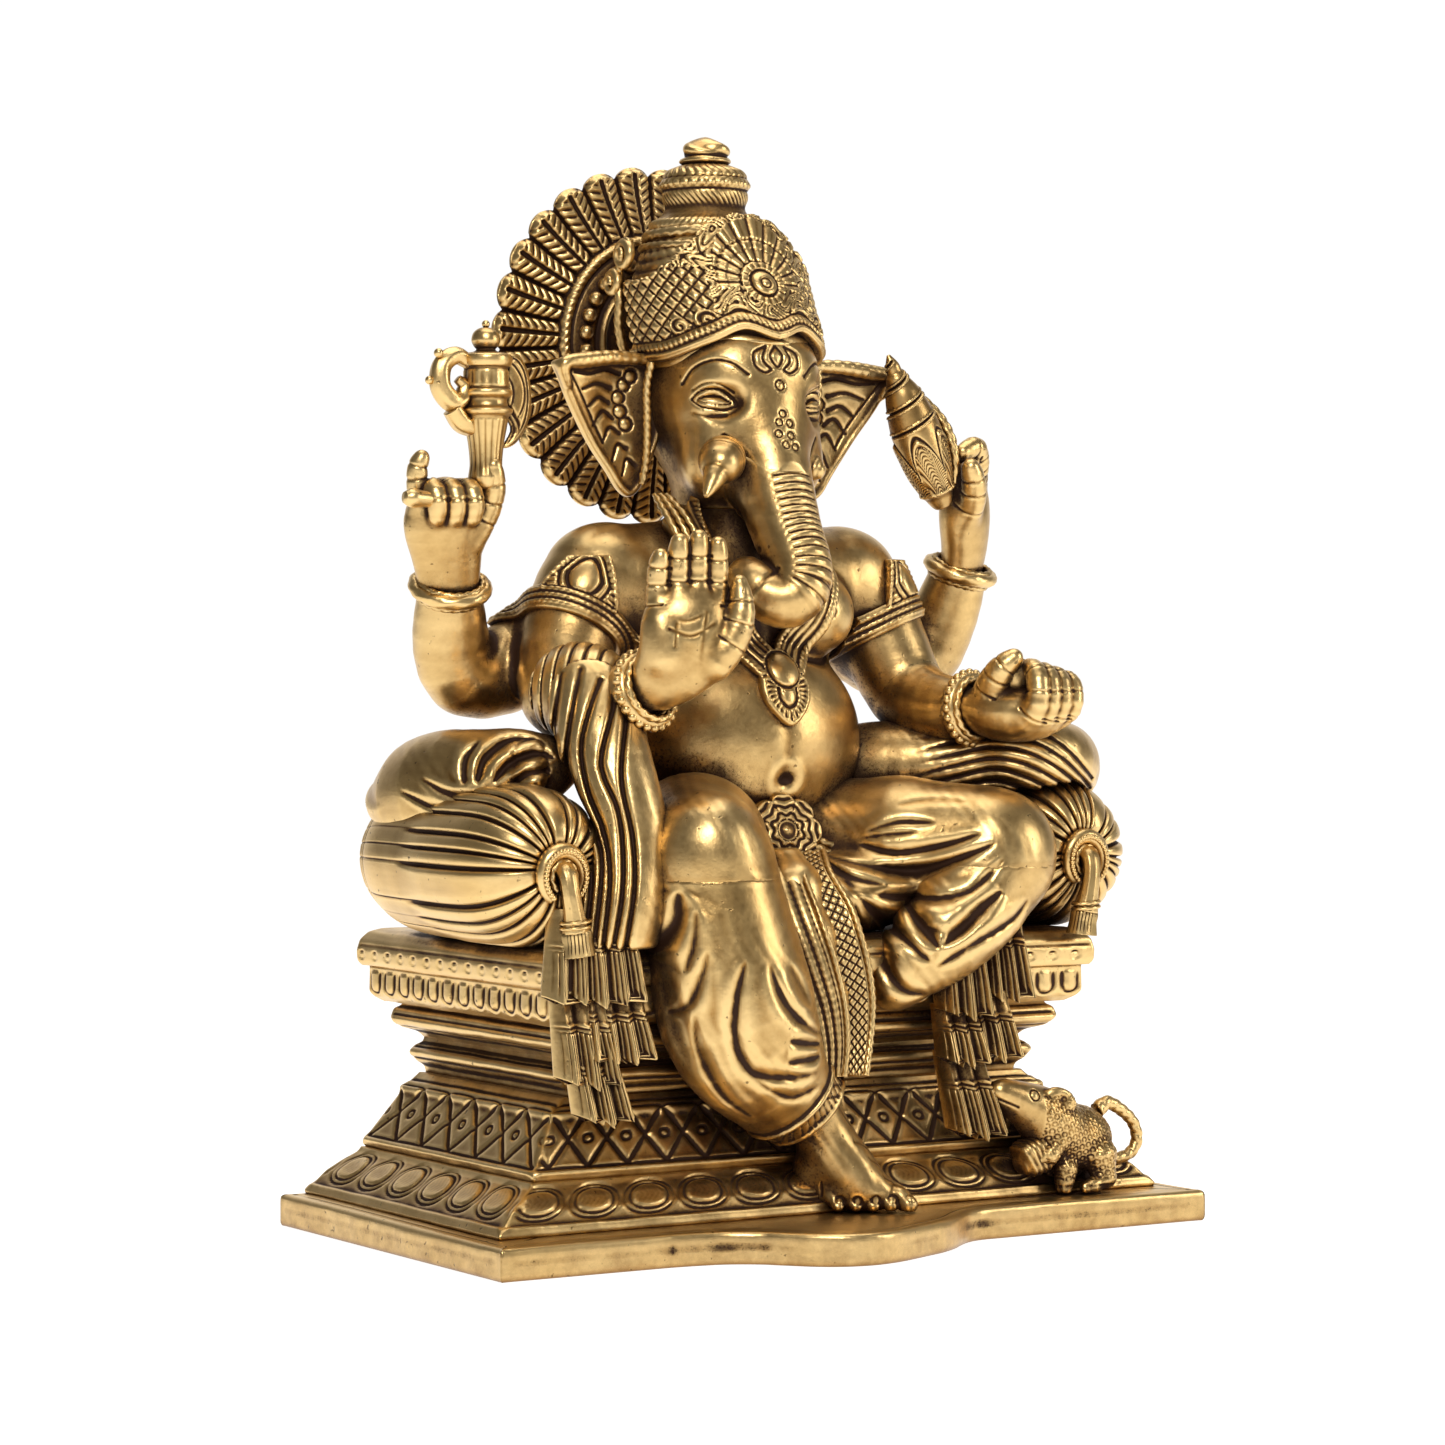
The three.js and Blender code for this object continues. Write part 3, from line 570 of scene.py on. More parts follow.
def rope_rib(s, t, t0, w, h, pitch=1.5, lean=0.8):
    """A half-round rope moulding along the wall at profile length t0."""
    r = np.clip(1 - ((t - t0) / w) ** 2, 0, 1) ** 0.5
    return h * r * (0.45 + 0.55 * np.sqrt(np.abs(np.cos(np.pi * (s + lean * (t - t0)) / pitch))))


def lotus(s, t, L, side):
    """Lens-shaped petal panels with a double outline, over a beaded lower edge."""
    pitch = 17.3
    u = (s / pitch - np.floor(s / pitch) - 0.5) * 2
    mid, half = (L - 6.0) * 0.5 + 5.2, (L - 7.0) * 0.5
    y = (t - mid) / half
    e = np.sqrt((np.abs(u) * (1.02 + 0.10 * y)) ** 2.2 + (0.92 * np.abs(y)) ** 2.2 + 1e-6)
    d = 0.42 * (1 - fade(e, 0.50, 0.66)) - 0.55 * bell(e - 0.70, 0.045) + 0.2 * bell(e - 0.80,
        0.05) - 0.55 * bell(e - 0.90, 0.05)
    grain = bell((s * 0.9 + 1.2 * np.abs(y) * 3) % 1.5 - 0.75, 0.26) * (e < 0.5) * 0.3
    d = d - grain
    d = np.where((t > 4.0) & (t < L - 0.5), d, 0)
    return d + rope_rib(s, t, 3.2, 0.8, 0.55, 1.15)


def diamonds(s, t, L, side):
    """Crossed engraved lines with a ringed dot in each lozenge, between two rope mouldings."""
    pitch = 12.2 if side in (0, 2) else 15.5
    a, b = 4.6, L - 6.0
    y = (t - a) / (b - a)
    k = (s / pitch) % 1.0
    line = np.minimum(np.abs(k - y), np.abs((1 - k) - y)) * (b - a) * 0.75
    d = 0.35 * fade(line, 0.5, 1.6) - 0.75 * bell(line, 0.45)
    r = np.hypot(np.minimum(k, 1 - k) * pitch, (y - 0.5) * (b - a))
    d = d - 0.75 * bell(r - 1.3, 0.36) + 0.35 * bell(r, 0.6)
    d = np.where((y > 0) & (y < 1), d, 0)
    d = d - 0.45 * (bell(t - a, 0.3) + bell(t - b, 0.3))
    return d + rope_rib(s, t, 3.0, 0.95, 0.75, 1.3) + rope_rib(s, t, L - 4.3, 0.85, 0.7, 1.3)


def moulding(s, t, L, side):
    """A rope between two cut lines."""
    d = rope_rib(s, t, L * 0.56, 1.6, 0.95, 1.55, 1.1)
    return d - 0.3 * bell(t - L * 0.56 - 2.2, 0.35) - 0.3 * bell(t - L * 0.56 + 2.2, 0.35)


def cups(s, t, L, side):
    """A row of U-shaped petals under a notched edge."""
    pitch = 8.6
    u = (s / pitch - np.floor(s / pitch) - 0.5) * pitch
    top = L - 1.8
    y = t - (top - 3.4)
    r = np.where(y < 0, np.hypot(u, y), np.abs(u))
    d = 0.6 * (1 - fade(r, 1.5, 2.3)) - 0.5 * bell(r - 2.9, 0.4) + 0.4 * bell(r - 3.7, 0.4)
    d = np.where((t > 1.4) & (t < top), d, 0)
    return d + rope_rib(s, t, L - 0.9, 0.6, 0.4, 1.0)


def punches(s, t, L, side):
    """A row of ring punches under a cut line."""
    pitch = 7.8
    u = (s / pitch - np.floor(s / pitch) - 0.5) * pitch
    r = np.hypot(u, t - 3.4)
    return -0.5 * bell(r - 1.1, 0.35) - 0.25 * bell(t - 6.1, 0.4)


def make_tier(name, levels, ornament, step=0.5, hollow=True, round_r=0.7):
    """A closed course: levels are (height, half width, front, back) up the wall."""
    lv = np.array(levels, float)
    seg = np.hypot(np.diff(lv[:, 0]), np.diff(lv[:, 1]))
    run = np.concatenate([[0], np.cumsum(seg)])
    L = run[-1]
    t = np.linspace(0, L, int(L / step) + 2)
    prof = np.stack([np.interp(t, run, lv[:, k]) for k in range(4)], 1)
    for _ in range(int(round_r / step) + 1):
        prof[1:-1] = 0.25 * prof[:-2] + 0.5 * prof[1:-1] + 0.25 * prof[2:]
    dz, dx = np.gradient(prof[:, 0]), np.gradient(prof[:, 1])
    g = np.hypot(dz, dx) + 1e-9
    out_n, up_n = dz / g, -dx / g
    cols = []
    W = lv[:, 1].max() * 2
    D = (lv[:, 3] - lv[:, 2]).max()
    for side in range(4):
        n = int((W if side in (0, 2) else D) / step)
        f = np.linspace(-1, 1, n, endpoint=False)
        half = prof[:, 1] if side in (0, 2) else (prof[:, 3] - prof[:, 2]) / 2
        s = half[:, None] * f[None]
        ref = (W / 2 if side in (0, 2) else D / 2)
        edge = fade(half[:, None] - np.abs(s), 0.3, 1.6)
        d = ornament(f[None] * ref * 0.5 + s * 0.5, t[:, None] + 0 * s, L, side) * edge
        wear = 0.10 * np.sin(s / 9.0 + side) + 0.07 * np.sin(s / 3.1 + t[:, None] / 2.2)
        d = d + wear * edge
        o = d * out_n[:, None]
        z = prof[:, :1] + d * up_n[:, None] * 0.999
        my = (prof[:, 3] + prof[:, 2]) / 2
        if side == 0:
            x, y = s, prof[:, 2:3] - o
        elif side == 1:
            x, y = prof[:, 1:2] + o, my[:, None] + s
        elif side == 2:
            x, y = -s, prof[:, 3:4] + o
        else:
            x, y = -prof[:, 1:2] - o, my[:, None] - s
        cols.append(np.stack([x + 0 * z, y + 0 * z, z], -1))
    wall = np.concatenate(cols, 1)
    # Soften the four upright corners.
    for _ in range(2):
        wall = 0.25 * np.roll(wall, 1, 1) + 0.5 * wall + 0.25 * np.roll(wall, -1, 1)
    if not hollow:
        mid = wall[-1].mean(0)
        lid = [(mid + (wall[-1] - mid) * [k, k, 1])[None] for k in (0.96, 0.9, 0.7, 0.4)]
        return piece(name, Bag().sheet(np.concatenate([wall] + lid)))
    inner, n = core_edge(wall[0]), wall.shape[1]

    def level(row, f, z):
        return np.column_stack([wall[row][:, :2] * (1 - f) + inner * f, np.full(n, z)])

    top = [level(-1, f, lv[-1, 0]) for f in (0.15, 0.5, 1.0)]
    low = [level(0, f, lv[0, 0]) for f in (1.0, 0.5)]
    return piece(name, Bag().ring(np.concatenate([wall, np.array(top), np.array(low)])))


def make_throne():
    make_plate()
    make_tier("lotus_tier", [(8.7, 105.5, -51, 61), (9.6, 106, -51.5, 61.5), (11, 104.8, -50.6, 61),
        (12.2, 103, -49.6, 60), (15.0, 100.4, -48.2, 59),
                             (18, 95.5, -45, 58), (20, 91.5, -42, 57), (21.4, 90.5, -41, 56.6)], lotus)
    make_tier("diamond_tier", [(21.1, 89, -40, 56), (22.3, 90.2, -41, 56.8), (24.2, 89.6, -40.4, 56.5),
        (25.5, 88, -39, 56), (31, 84, -36, 54.4),
                               (36.0, 80.3, -33, 53), (38.2, 80.2, -33, 53), (39.5, 77, -31, 52.6),
                               (41.8, 74.5, -30, 52)], diamonds)
    make_tier("lower_moulding", [(41.5, 72.5, -29, 52), (43.6, 73, -29.4, 52), (45.0, 75.0, -31, 53),
        (47.6, 77, -32, 53.6), (49.4, 75.6, -31, 53),
                                 (50.4, 73.4, -30, 52), (51.9, 73, -30, 52)], moulding)
    make_tier("upper_moulding", [(51.5, 73, -30, 52), (53.2, 74.5, -32, 53), (54.6, 79, -36, 55),
        (57.2, 81.4, -38, 56.4), (59.8, 80.6, -37, 56),
                                 (60.6, 78.5, -36, 55), (61.9, 78, -36, 55)], moulding)
    make_tier("petal_band", [(61.6, 82.5, -40, 58), (63.0, 85, -42, 59.4), (64.4, 86.2, -43, 60),
        (71.9, 86, -43, 60)], cups)
    make_tier("seat_slab", [(71.8, 87.8, -44.4, 61.4), (73.0, 88.8, -45.2, 62.2), (76, 89, -45.3, 62.3),
        (79, 88.2, -44.8, 61.8), (81.2, 86.2, -43, 60.4),
                            (82.2, 83.2, -40, 58), (82.4, 80, -37, 55)], punches, hollow=False)


# ------------------------------------------------------------------ head
EYE = (14.5, -9.0, 228.6)
TRUNK = [(0, -4, 228, 13), (0, -11, 216, 12.0), (0, -17, 204, 10.6), (0.3, -23, 192, 9.4),
    (0.6, -28.2, 183.6, 8.7), (-0.4, -30.2, 177.8, 8.2),
         (-4.0, -29.8, 173.8, 7.5), (-8.4, -27.6, 174.4, 6.7), (-11.2, -25.0, 177.6, 6.2),
         (-12.2, -21.8, 180.4, 5.4)]


def skull(p):
    d = ell(p, (0, 9, 231), (23.6, 28, 26))
    d = smin(d, ell(p, (0, -3, 224), (20.5, 15.5, 19)), 6)
    d = smin(d, ell(p, (0, 7, 241.5), (20.8, 23.6, 13.5)), 5)
    for s in (-1, 1):
        d = smin(d, ell(p, (s * 13, -5, 212.5), (8.6, 9.5, 10)), 5)
        d = smin(d, ell(p, (s * 8.5, -6.5, 237), (9.5, 9, 9)), 6)
        d = smax(d, -ell(p, (s * 14.8, -14.8, 227.4), (6.4, 5.0, 4.2)), 3.5)
        d = smin(d, ell(p, (s * 14.2, -8.6, 227.4), (5.4, 4.2, 3.3)), 1.2)
    return smin(d, cone(p, (0, 7, 214), (0, 8, 196), 17, 15), 6)


def trunk_field(p):
    path = smooth_path(TRUNK, 22)
    return chain(p, path, 1.2)


def face_marks(q):
    """Depth to take off (positive) at flat points q on the front of the face."""
    x, y, z = q
    cut = np.zeros(x.shape, f32)
    for s in (-1, 1):
        ex, ey, ez = EYE[0] * s, EYE[1], EYE[2]
        u = -(x - ex) * 0.785 * s - (y - ey) * 0.62
        v = z - ez
        m = ((x - ex) * 0.62 * s - (y - ey) * 0.785 > -7) & (np.abs(u) < 13) & (np.abs(v) < 16) & (x * s > 1)
        if not m.any():
            continue
        w = (u[m] * 1.22, v[m] * 1.3 - 0.2)
        g = np.zeros(w[0].shape, f32)
        for pts, width, depth in (
                ([(-7.6, 0.2), (-5, 2.9), (-1, 4.1), (3, 3.3), (6.3, 0.4), (7.6, -1.9)], 0.42, 0.75),
                ([(-7.0, 3.6), (-3, 5.9), (2, 5.5), (6.6, 2.6)], 0.4, 0.35),
                ([(-7.6, 0.2), (-4.5, -2.2), (0, -3.3), (4, -3.5), (7.6, -1.9)], 0.42, 0.7),
                ([(-5.8, 0.2), (-2, 1.3), (2, 1.0), (5.6, -1.0)], 0.38, 0.7),
                ([(-5.6, -0.3), (-1.5, -1.3), (2.5, -1.7), (5.6, -1.3)], 0.35, 0.5),
                ([(-11, 6.0), (-7, 11.4), (0, 14.2), (6.5, 13.0), (11.6, 9.0)], 0.55, 0.7),
                ([(-7, -4.5), (-2, -6), (4, -5.6)], 0.5, 0.22)):
            r, _ = track(w, smooth_path(pts, 16))
            g = np.maximum(g, depth * bell(r, width))
        cut[m] = np.maximum(cut[m], g)
    f = y < -2
    for px, pz in ((0, 232.9), (-1.6, 222.6), (1.8, 222.4), (-2.2, 219.4), (1.6, 219.0), (-0.6, 216.4),
        (2.4, 215.8), (-0.2, 225)):
        r = np.hypot(x - px, z - pz)
        big = 1.35 if pz == 232.9 else 1.0
        cut = np.maximum(cut, np.where(f, 0.6 * bell(r - big, 0.3), 0))
    for pts in ([(0, 243.8), (-2.0, 241.0), (0, 238.0), (2.0, 241.0), (0, 243.8)],
                [(-3.0, 243.6), (-4.4, 240.0), (-2.0, 237.2)], [(-3.0, 243.6), (-6.8, 241.8), (-6.9, 238.2),
                (-4.2, 236.4), (-2.0, 237.2)],
                [(3.0, 243.6), (4.4, 240.0), (2.0, 237.2)], [(3.0, 243.6), (6.8, 241.8), (6.9, 238.2),
                (4.2, 236.4), (2.0, 237.2)]):
        r, _ = track((x, z), smooth_path(pts, 14))
        cut = np.maximum(cut, np.where(f, 0.75 * bell(r, 0.42), 0))
    return cut


def make_head():
    g = Grid((-28, -26, 199), (28, 40, 260), 0.42)
    p = g.p
    d = smin(skull(p), trunk_field(g.p), 5.5)
    # The trunk itself is its own casting from just below the eyes.
    cutp = 213.5 + 0.55 * (g.y + 16)
    d = np.maximum(d, -np.maximum(np.maximum(g.z - cutp, g.y + 7.0), trunk_field(p) - 2.2))
    i, q = g.near(d, 2.2)
    d = g.full(d)
    cut = face_marks(q)
    # Wrinkles around the cheek and the mouth corner.
    for s in (-1, 1):
        for k in range(3):
            r, run = track((q[0], q[2]),
                smooth_path([(s * (15 - k), 219 - k * 1.2), (s * (11.5 - k * 0.6), 214.5 - k),
                    (s * (10.5 - k * 0.3), 208 - k)], 10))
            cut = np.maximum(cut, np.where(q[1] < 0, 0.4 * bell(r, 0.5), 0))
    d[i] += cut
    b = Bag().field(d, g)
    piece("head", b)

    g = Grid((-22, -39, 161), (14, 2, 224), 0.36)
    p = g.p
    d = smin(trunk_field(p), skull(p), 5.5)
    cutp = 213.5 + 0.55 * (g.y + 16)
    d = np.maximum(d, np.maximum(g.z - cutp - 1.0, g.y + 6.6))
    d = np.maximum(d, trunk_field(p) - 2.4)
    d = g.full(d)
    i, q = g.near(d, 2.0)
    path = smooth_path(TRUNK, 60)[:, :3]
    r, run = track(q, path)
    total = np.linalg.norm(np.diff(path, axis=0), axis=1).sum()
    ax = np.interp(run, lengths(path), path[:, 1])
    axx = np.interp(run, lengths(path), path[:, 0])
    # Ribs run down a strip on the ridge only; the flanks stay smooth.
    around = (q[0] - axx) - 0.25 * (q[1] - ax) - 2.0
    strip = fade(np.abs(around), 7.2, 4.6) * fade(-(q[1] - ax), 0.0, 2.5)
    ribs = np.interp(run, [0, 30, total], [0, 12.0, 12 + (total - 30) / 2.2])
    rib = np.abs(np.sin(np.pi * ribs))
    on = fade(run, 15, 20) * (1 - fade(run, total - 20, total - 15))
    d[i] += on * strip * (0.75 * (1 - rib) ** 1.3 - 0.12)
    d[i] += 0.35 * bell(run - (total - 6), 0.6)
    # Nostrils at the curled tip.
    for c in ((-12.0, -22.0, 187.2), (-9.6, -21.6, 187.4)):
        d = smax(d, -ell(p, c, (1.1, 3, 1.3)), 0.5)
    for px, pz in ((-1.4, 213.2), (1.6, 212.6)):
        rr = np.hypot(q[0] - px, q[2] - pz)
        d[i] += np.where(q[1] < -8, 0.5 * bell(rr - 1.0, 0.3), 0)
    piece("trunk", Bag().field(d, g))

    for s, name in ((-1, "right_tusk"), (1, "left_tusk")):
        g = Grid((-32 if s < 0 else 8, -32, 197), (-8 if s < 0 else 30, -6, 222), 0.32)
        p = g.p
        if s < 0:
            t = chain(p, smooth_path([(-14, -13, 212.5, 4.3), (-18.5, -18.2, 210.5, 3.9),
                (-22.5, -21.6, 207.0, 3.0), (-26.3, -24.0, 202.2, 1.1)], 12), 0.8)
            col = chain(p, smooth_path([(-13.5, -12, 213, 5.8), (-17, -16.6, 212, 5.9),
                (-19, -18.8, 210.8, 5.4)], 7), 1.2)
        else:
            t = chain(p, [(13, -11, 211.5, 3.4), (14.6, -14.6, 210.2, 2.9)], 0.8)
            col = chain(p, [(12.5, -10.5, 212, 4.2), (13.8, -12.8, 211.2, 4.0)], 1.0)
        d = g.full(smin(t, col, 0.5))
        i, q = g.near(d, 1.5)
        u = (q[0] * s - 14) * 0.6 - (q[1] + 13) * 0.7 + (213 - q[2]) * 0.35
        d[i] -= 0.3 * np.abs(np.sin(u * 1.5)) * (1 - fade(u, 6.0, 7.5)) - 0.1
        piece(name, Bag().field(d, g))


EAR = [(-19, 240), (-28, 242.4), (-38, 241.6), (-47, 240.4), (-55.5, 239.4), (-54, 235.0), (-50.5, 228.6),
    (-46, 222), (-41.5, 215.5), (-37, 209.5),
       (-33.5, 204.5), (-30, 202.6), (-26.5, 205.5), (-23, 213), (-20, 222)]


def poly(x, z, pts):
    """Signed distance to a polygon in a plane."""
    d = np.full(np.broadcast_shapes(x.shape, z.shape), 1e9, f32)
    sgn = np.ones(d.shape, f32)
    n = len(pts)
    for i in range(n):
        ax, az = pts[i]
        bx, bz = pts[(i + 1) % n]
        ex, ez = bx - ax, bz - az
        wx, wz = x - ax, z - az
        t = np.clip((wx * ex + wz * ez) / (ex * ex + ez * ez), 0, 1)
        d = np.minimum(d, (wx - ex * t) ** 2 + (wz - ez * t) ** 2)
        c1, c2, c3 = z >= az, z < bz, ex * wz > ez * wx
        flip = (c1 & c2 & c3) | (~c1 & ~c2 & ~c3)
        sgn = np.where(flip, -sgn, sgn)
    return sgn * np.sqrt(d)


def make_ears():
    pts = [tuple(q) for q in smooth_path(EAR + [EAR[0]], 70)[:-1]]
    for s, name in ((-1, "right_ear"), (1, "left_ear")):
        g = Grid((-58, 1, 200), (-17, 19, 250), 0.4)
        x, z = g.x, g.z
        e = poly(x, z, pts)
        dish = 11.5 - 3.2 * fade(-x, 24, 50) * fade(z, 214, 240) + 2.2 * bell(x + 36, 9) * bell(z - 230, 14)
        thick = 1.35 + 0.8 * bell(e + 1.4, 1.1) * fade(z, 234, 239) + 0.55 * bell(e + 1.0, 0.8)
        d = smax(e, np.abs(g.y - dish) - thick, 1.0)
        # A rolled lip along the top edge, leaning forward.
        top = smooth_path([(-24, 8.5, 240.4, 1.4), (-36, 7.4, 240.8, 1.8), (-47, 6.2, 239.6, 2.0),
            (-53.8, 5.6, 238.2, 1.5), (-52.0, 6.8, 233, 1.0)], 16)
        d = smin(d, chain(g.p, top, 1.0), 1.6)
        d = g.full(d)
        i, q = g.near(d, 1.6)
        cut = np.zeros(q[0].shape, f32)
        for path, w in (([(-33, 236.5), (-38, 237.6), (-44, 236.2), (-49.5, 236.4)], 0.6),
            ([(-36, 232.6), (-41, 233.6), (-46.5, 231.8)], 0.75), ([(-36.4, 228.6), (-40, 229.8), (-44, 227)],
            0.8),
                        ([(-35, 224.5), (-38.4, 226), (-41.8, 222)], 0.8),
                        ([(-33, 220.5), (-36, 221.6), (-38.5, 217.5)], 0.8),
                        ([(-31, 216), (-33.6, 217), (-35.6, 212.5)], 0.7),
                        ([(-38.5, 218), (-43.5, 226), (-48.5, 233), (-51.5, 236.8)], 0.45),
                        ([(-28.6, 211.5), (-31, 213), (-32.6, 208.5)], 0.6)):
            r, run = track((q[0], q[2]), smooth_path(path, 12))
            end = run / (run.max() + 1e-6)
            cut = np.maximum(cut, 0.6 * bell(r, w * (1.25 - 0.75 * end)))
        for c in ((-31.6, 233.6), (-33.2, 230.0), (-32.6, 226.2), (-31.0, 222.8), (-29.6, 236)):
            r = np.hypot(q[0] - c[0], q[2] - c[1])
            cut = np.where(r < 2.3, 0.7 * bell(r - 1.9, 0.35) - 0.35 * bell(r, 0.9), cut)
        d[i] += np.where(q[1] < 13.5, cut, 0)
        b = Bag().field(d, g)
        root = smooth_path([(-27.5, 3.4, 239.6), (-28.2, 4.6, 233), (-27.6, 5.4, 224), (-27.2, 6.4, 214),
            (-28.0, 7.5, 206)], 90)
        b.tube(root, 1.25, 10, 0.42, 3, 0.4)
        if s > 0:
            b.v = [v * np.array([-1, 1, 1], f32) for v in b.v]
            b.q = [f[:, ::-1] for f in b.q]
            b.t = [f[:, ::-1] for f in b.t]
        piece(name, b)


# ------------------------------------------------------------------ crown
CAP = np.array([(234, 23.4, 28.2, 9.2), (243, 24.0, 28, 10), (252, 24.6, 26, 12.3), (262, 24.2, 22.5, 15.0),
    (270, 20.2, 19, 17.3), (278, 15.2, 15.8, 19.4)])
CREST = np.array([(234, 23.4, 28.2, 9.2), (243, 24.0, 28, 10), (252, 24.6, 26, 12.3), (262, 24.4, 22.8, 14.8),
    (271, 23.4, 19.6, 16.6), (282, 22, 16.5, 18.2)])


def stack(g, table):
    z = g.z
    a, b, c = (np.interp(z, table[:, 0], table[:, k]) for k in (1, 2, 3))
    x, y = g.x / a, (g.y - c) / b
    k = np.sqrt(x * x + y * y)
    return (k - 1) * (0.5 * (a + b)) * 0.93, np.arctan2(x, -y)


def make_crown():
    g = Grid((-28, -22, 236), (28, 42, 283), 0.5)
    d, th = stack(g, CAP)
    dz = np.maximum(238 + 6 * fade(np.abs(th) * 25, 34, 14) - g.z, g.z - 277.4)
    d = g.full(smax(d, dz, 1.2))
    i, q = g.near(d, 1.5)
    t = np.broadcast_to(th, g.n)[i]
    # Wound hair and cord lines round the back and sides of the cap.
    rows = (q[2] - 240 + 1.5 * np.sin(t * 3)) / 3.0
    d[i] -= 0.28 * np.abs(np.sin(np.pi * rows)) * fade(q[2], 240, 246) - 0.1
    d[i] -= 0.22 * np.abs(np.sin(18 * t + q[2] * 0.6)) * bell(q[2] - 272, 3)
    b = Bag().field(d, g)
    ring = [(16.2 * math.cos(a), 19.4 + 16.8 * math.sin(a), 277.3 + 0.9 * math.cos(a + 0.6)) for a in turn(200)]
    b.tube(ring, 1.9, 12, 0.30, 4, 0.35, closed=True)
    ring = [(18.2 * math.cos(a), 18.7 + 18.6 * math.sin(a), 273.2) for a in turn(220)]
    b.tube(ring, 1.3, 10, 0.35, 3, 0.35, closed=True)
    piece("crown_cap", b)

    g = Grid((-30, -26, 232), (30, 34, 284), 0.34)
    base, th = stack(g, CREST)
    u = np.abs(th) * 25.0
    us = th * 25.0
    z = g.z
    top = np.interp(u, [0, 6, 12, 18, 24, 30, 36, 42, 50], [280.5, 280, 277, 272, 267.5, 264, 262.5, 263, 262])
    fa = np.arctan2(us, z - 261.5)
    top = top + 0.9 * np.abs(np.sin(fa * 10)) * (u < 22)
    low = 245.6 + 2.8 * bell(u - 8.5, 5.5) - 5.4 * fade(u, 12, 34)
    shape = np.maximum(z - top, low - z)
    shape = np.maximum(shape, (u - 43) * 0.9)
    core = smax(np.abs(base - 0.9) - 1.7, shape, 0.5)
    d = g.full(core)
    i, q = g.near(d, 2.6)
    uu, ss, zz = (np.broadcast_to(w, g.n)[i] for w in (u, us, z))
    tp, lw = np.broadcast_to(top, g.n)[i], np.broadcast_to(low, g.n)[i]
    bs = np.broadcast_to(base, g.n)[i]
    r, a = np.hypot(ss, zz - 261.5), np.arctan2(ss, zz - 261.5)
    # Scrollwork over the ground: contours of a rolling surface.
    roll = np.sin(0.62 * ss + 1.5 * np.sin(0.45 * zz)) + np.sin(0.7 * zz + 1.3 * np.sin(0.55 * uu))
    h = 0.75 - 0.75 * bell(np.sin(3.4 * roll), 0.42)
    # The fan of plumes round the gem.
    fan = (r < 12.4 + 6.5 * np.abs(np.cos(a)) ** 2) & (np.abs(a) < 1.75)
    plume = np.abs(np.sin(a * 10))
    h = np.where(fan & (r > 6.4), 0.95 * plume ** 0.7 - 0.15 + 0.35 * np.abs(np.sin(a * 20)) * (r > 10), h)
    for k, rr in ((0, 6.3), (1, 12.6)):
        h = h + np.where(fan, -0.5 * bell(r - rr, 0.45), 0)
    petals = (r < 6.2)
    h = np.where(petals, 0.7 + 0.5 * np.abs(np.sin(a * 9)) * (r > 4.0), h)
    h = h + 1.6 * np.sqrt(np.clip(1 - (r / 3.4) ** 2, 0, 1)) - 0.6 * bell(r - 3.8, 0.4)
    h = h + 0.7 * bell(r - 1.3, 0.35) * (r < 3) * -1
    # Side lattice, scrolls and the twin brow bands.
    side = ~fan & (uu > 15)
    k1, k2 = (uu + zz) / 4.3, (uu - zz) / 4.3
    lat = np.minimum(np.abs(k1 - np.round(k1)), np.abs(k2 - np.round(k2)))
    h = np.where(side & (zz < 266), 0.55 - 0.75 * bell(lat, 0.13) + 0.2
        * bell(np.hypot(k1 % 1 - 0.5, k2 % 1 - 0.5), 0.2), h)
    for cx, cz, cr in ((9.5, 251.5, 3.9), (17.8, 250.5, 3.3), (4.4, 248.0, 2.0), (25, 249, 2.6)):
        rr = np.hypot(uu - cx, zz - cz)
        spiral = np.sin(rr * 3.0 - np.arctan2(zz - cz, uu - cx))
        h = np.where(rr < cr, 0.75 + 0.45 * spiral, h)
    e = zz - lw
    h = np.where(e < 5.2, 0.35, h)
    lines = 0.75 * bell(e - 1.1, 0.55) + 0.9 * bell(e - 3.2, 0.75) * (0.7 + 0.3
        * np.sin(ss * 4.2 + e)) - 0.45 * bell(e - 5.0, 0.35)
    h = h + np.where(e < 6, lines, 0)
    h = h + 0.45 * bell(tp - zz - 0.8, 0.6) * (uu > 18)
    d[i] -= np.where(bs > 0.2, h, 0) * 0.9
    b = Bag().field(d, g)
    # Scroll ornaments that stand at the sides against the halo.
    for s in (-1, 1):
        for c, rad in (((26.0, 19.5, 270.0), 4.2), ((27.5, 23.0, 262.5), 3.4)):
            w = [(s * (c[0] + 0.10 * k), c[1] + (rad - 0.10 * rad * k / 3) * math.cos(k * 0.42),
                c[2] + (rad - 0.10 * rad * k / 3) * math.sin(k * 0.42)) for k in range(0, 24)]
            b.tube(smooth_path(w, 90), np.linspace(1.7, 0.9, 90), 10)
        w = smooth_path([(s * 25.5, 20, 240), (s * 27.4, 21, 250), (s * 27.6, 20.5, 258), (s * 27.2, 21.5, 266),
            (s * 26, 18, 275)], 80)
        b.tube(w, 1.5, 10, 0.35, 3, 0.3)
    piece("crown_crest", b)

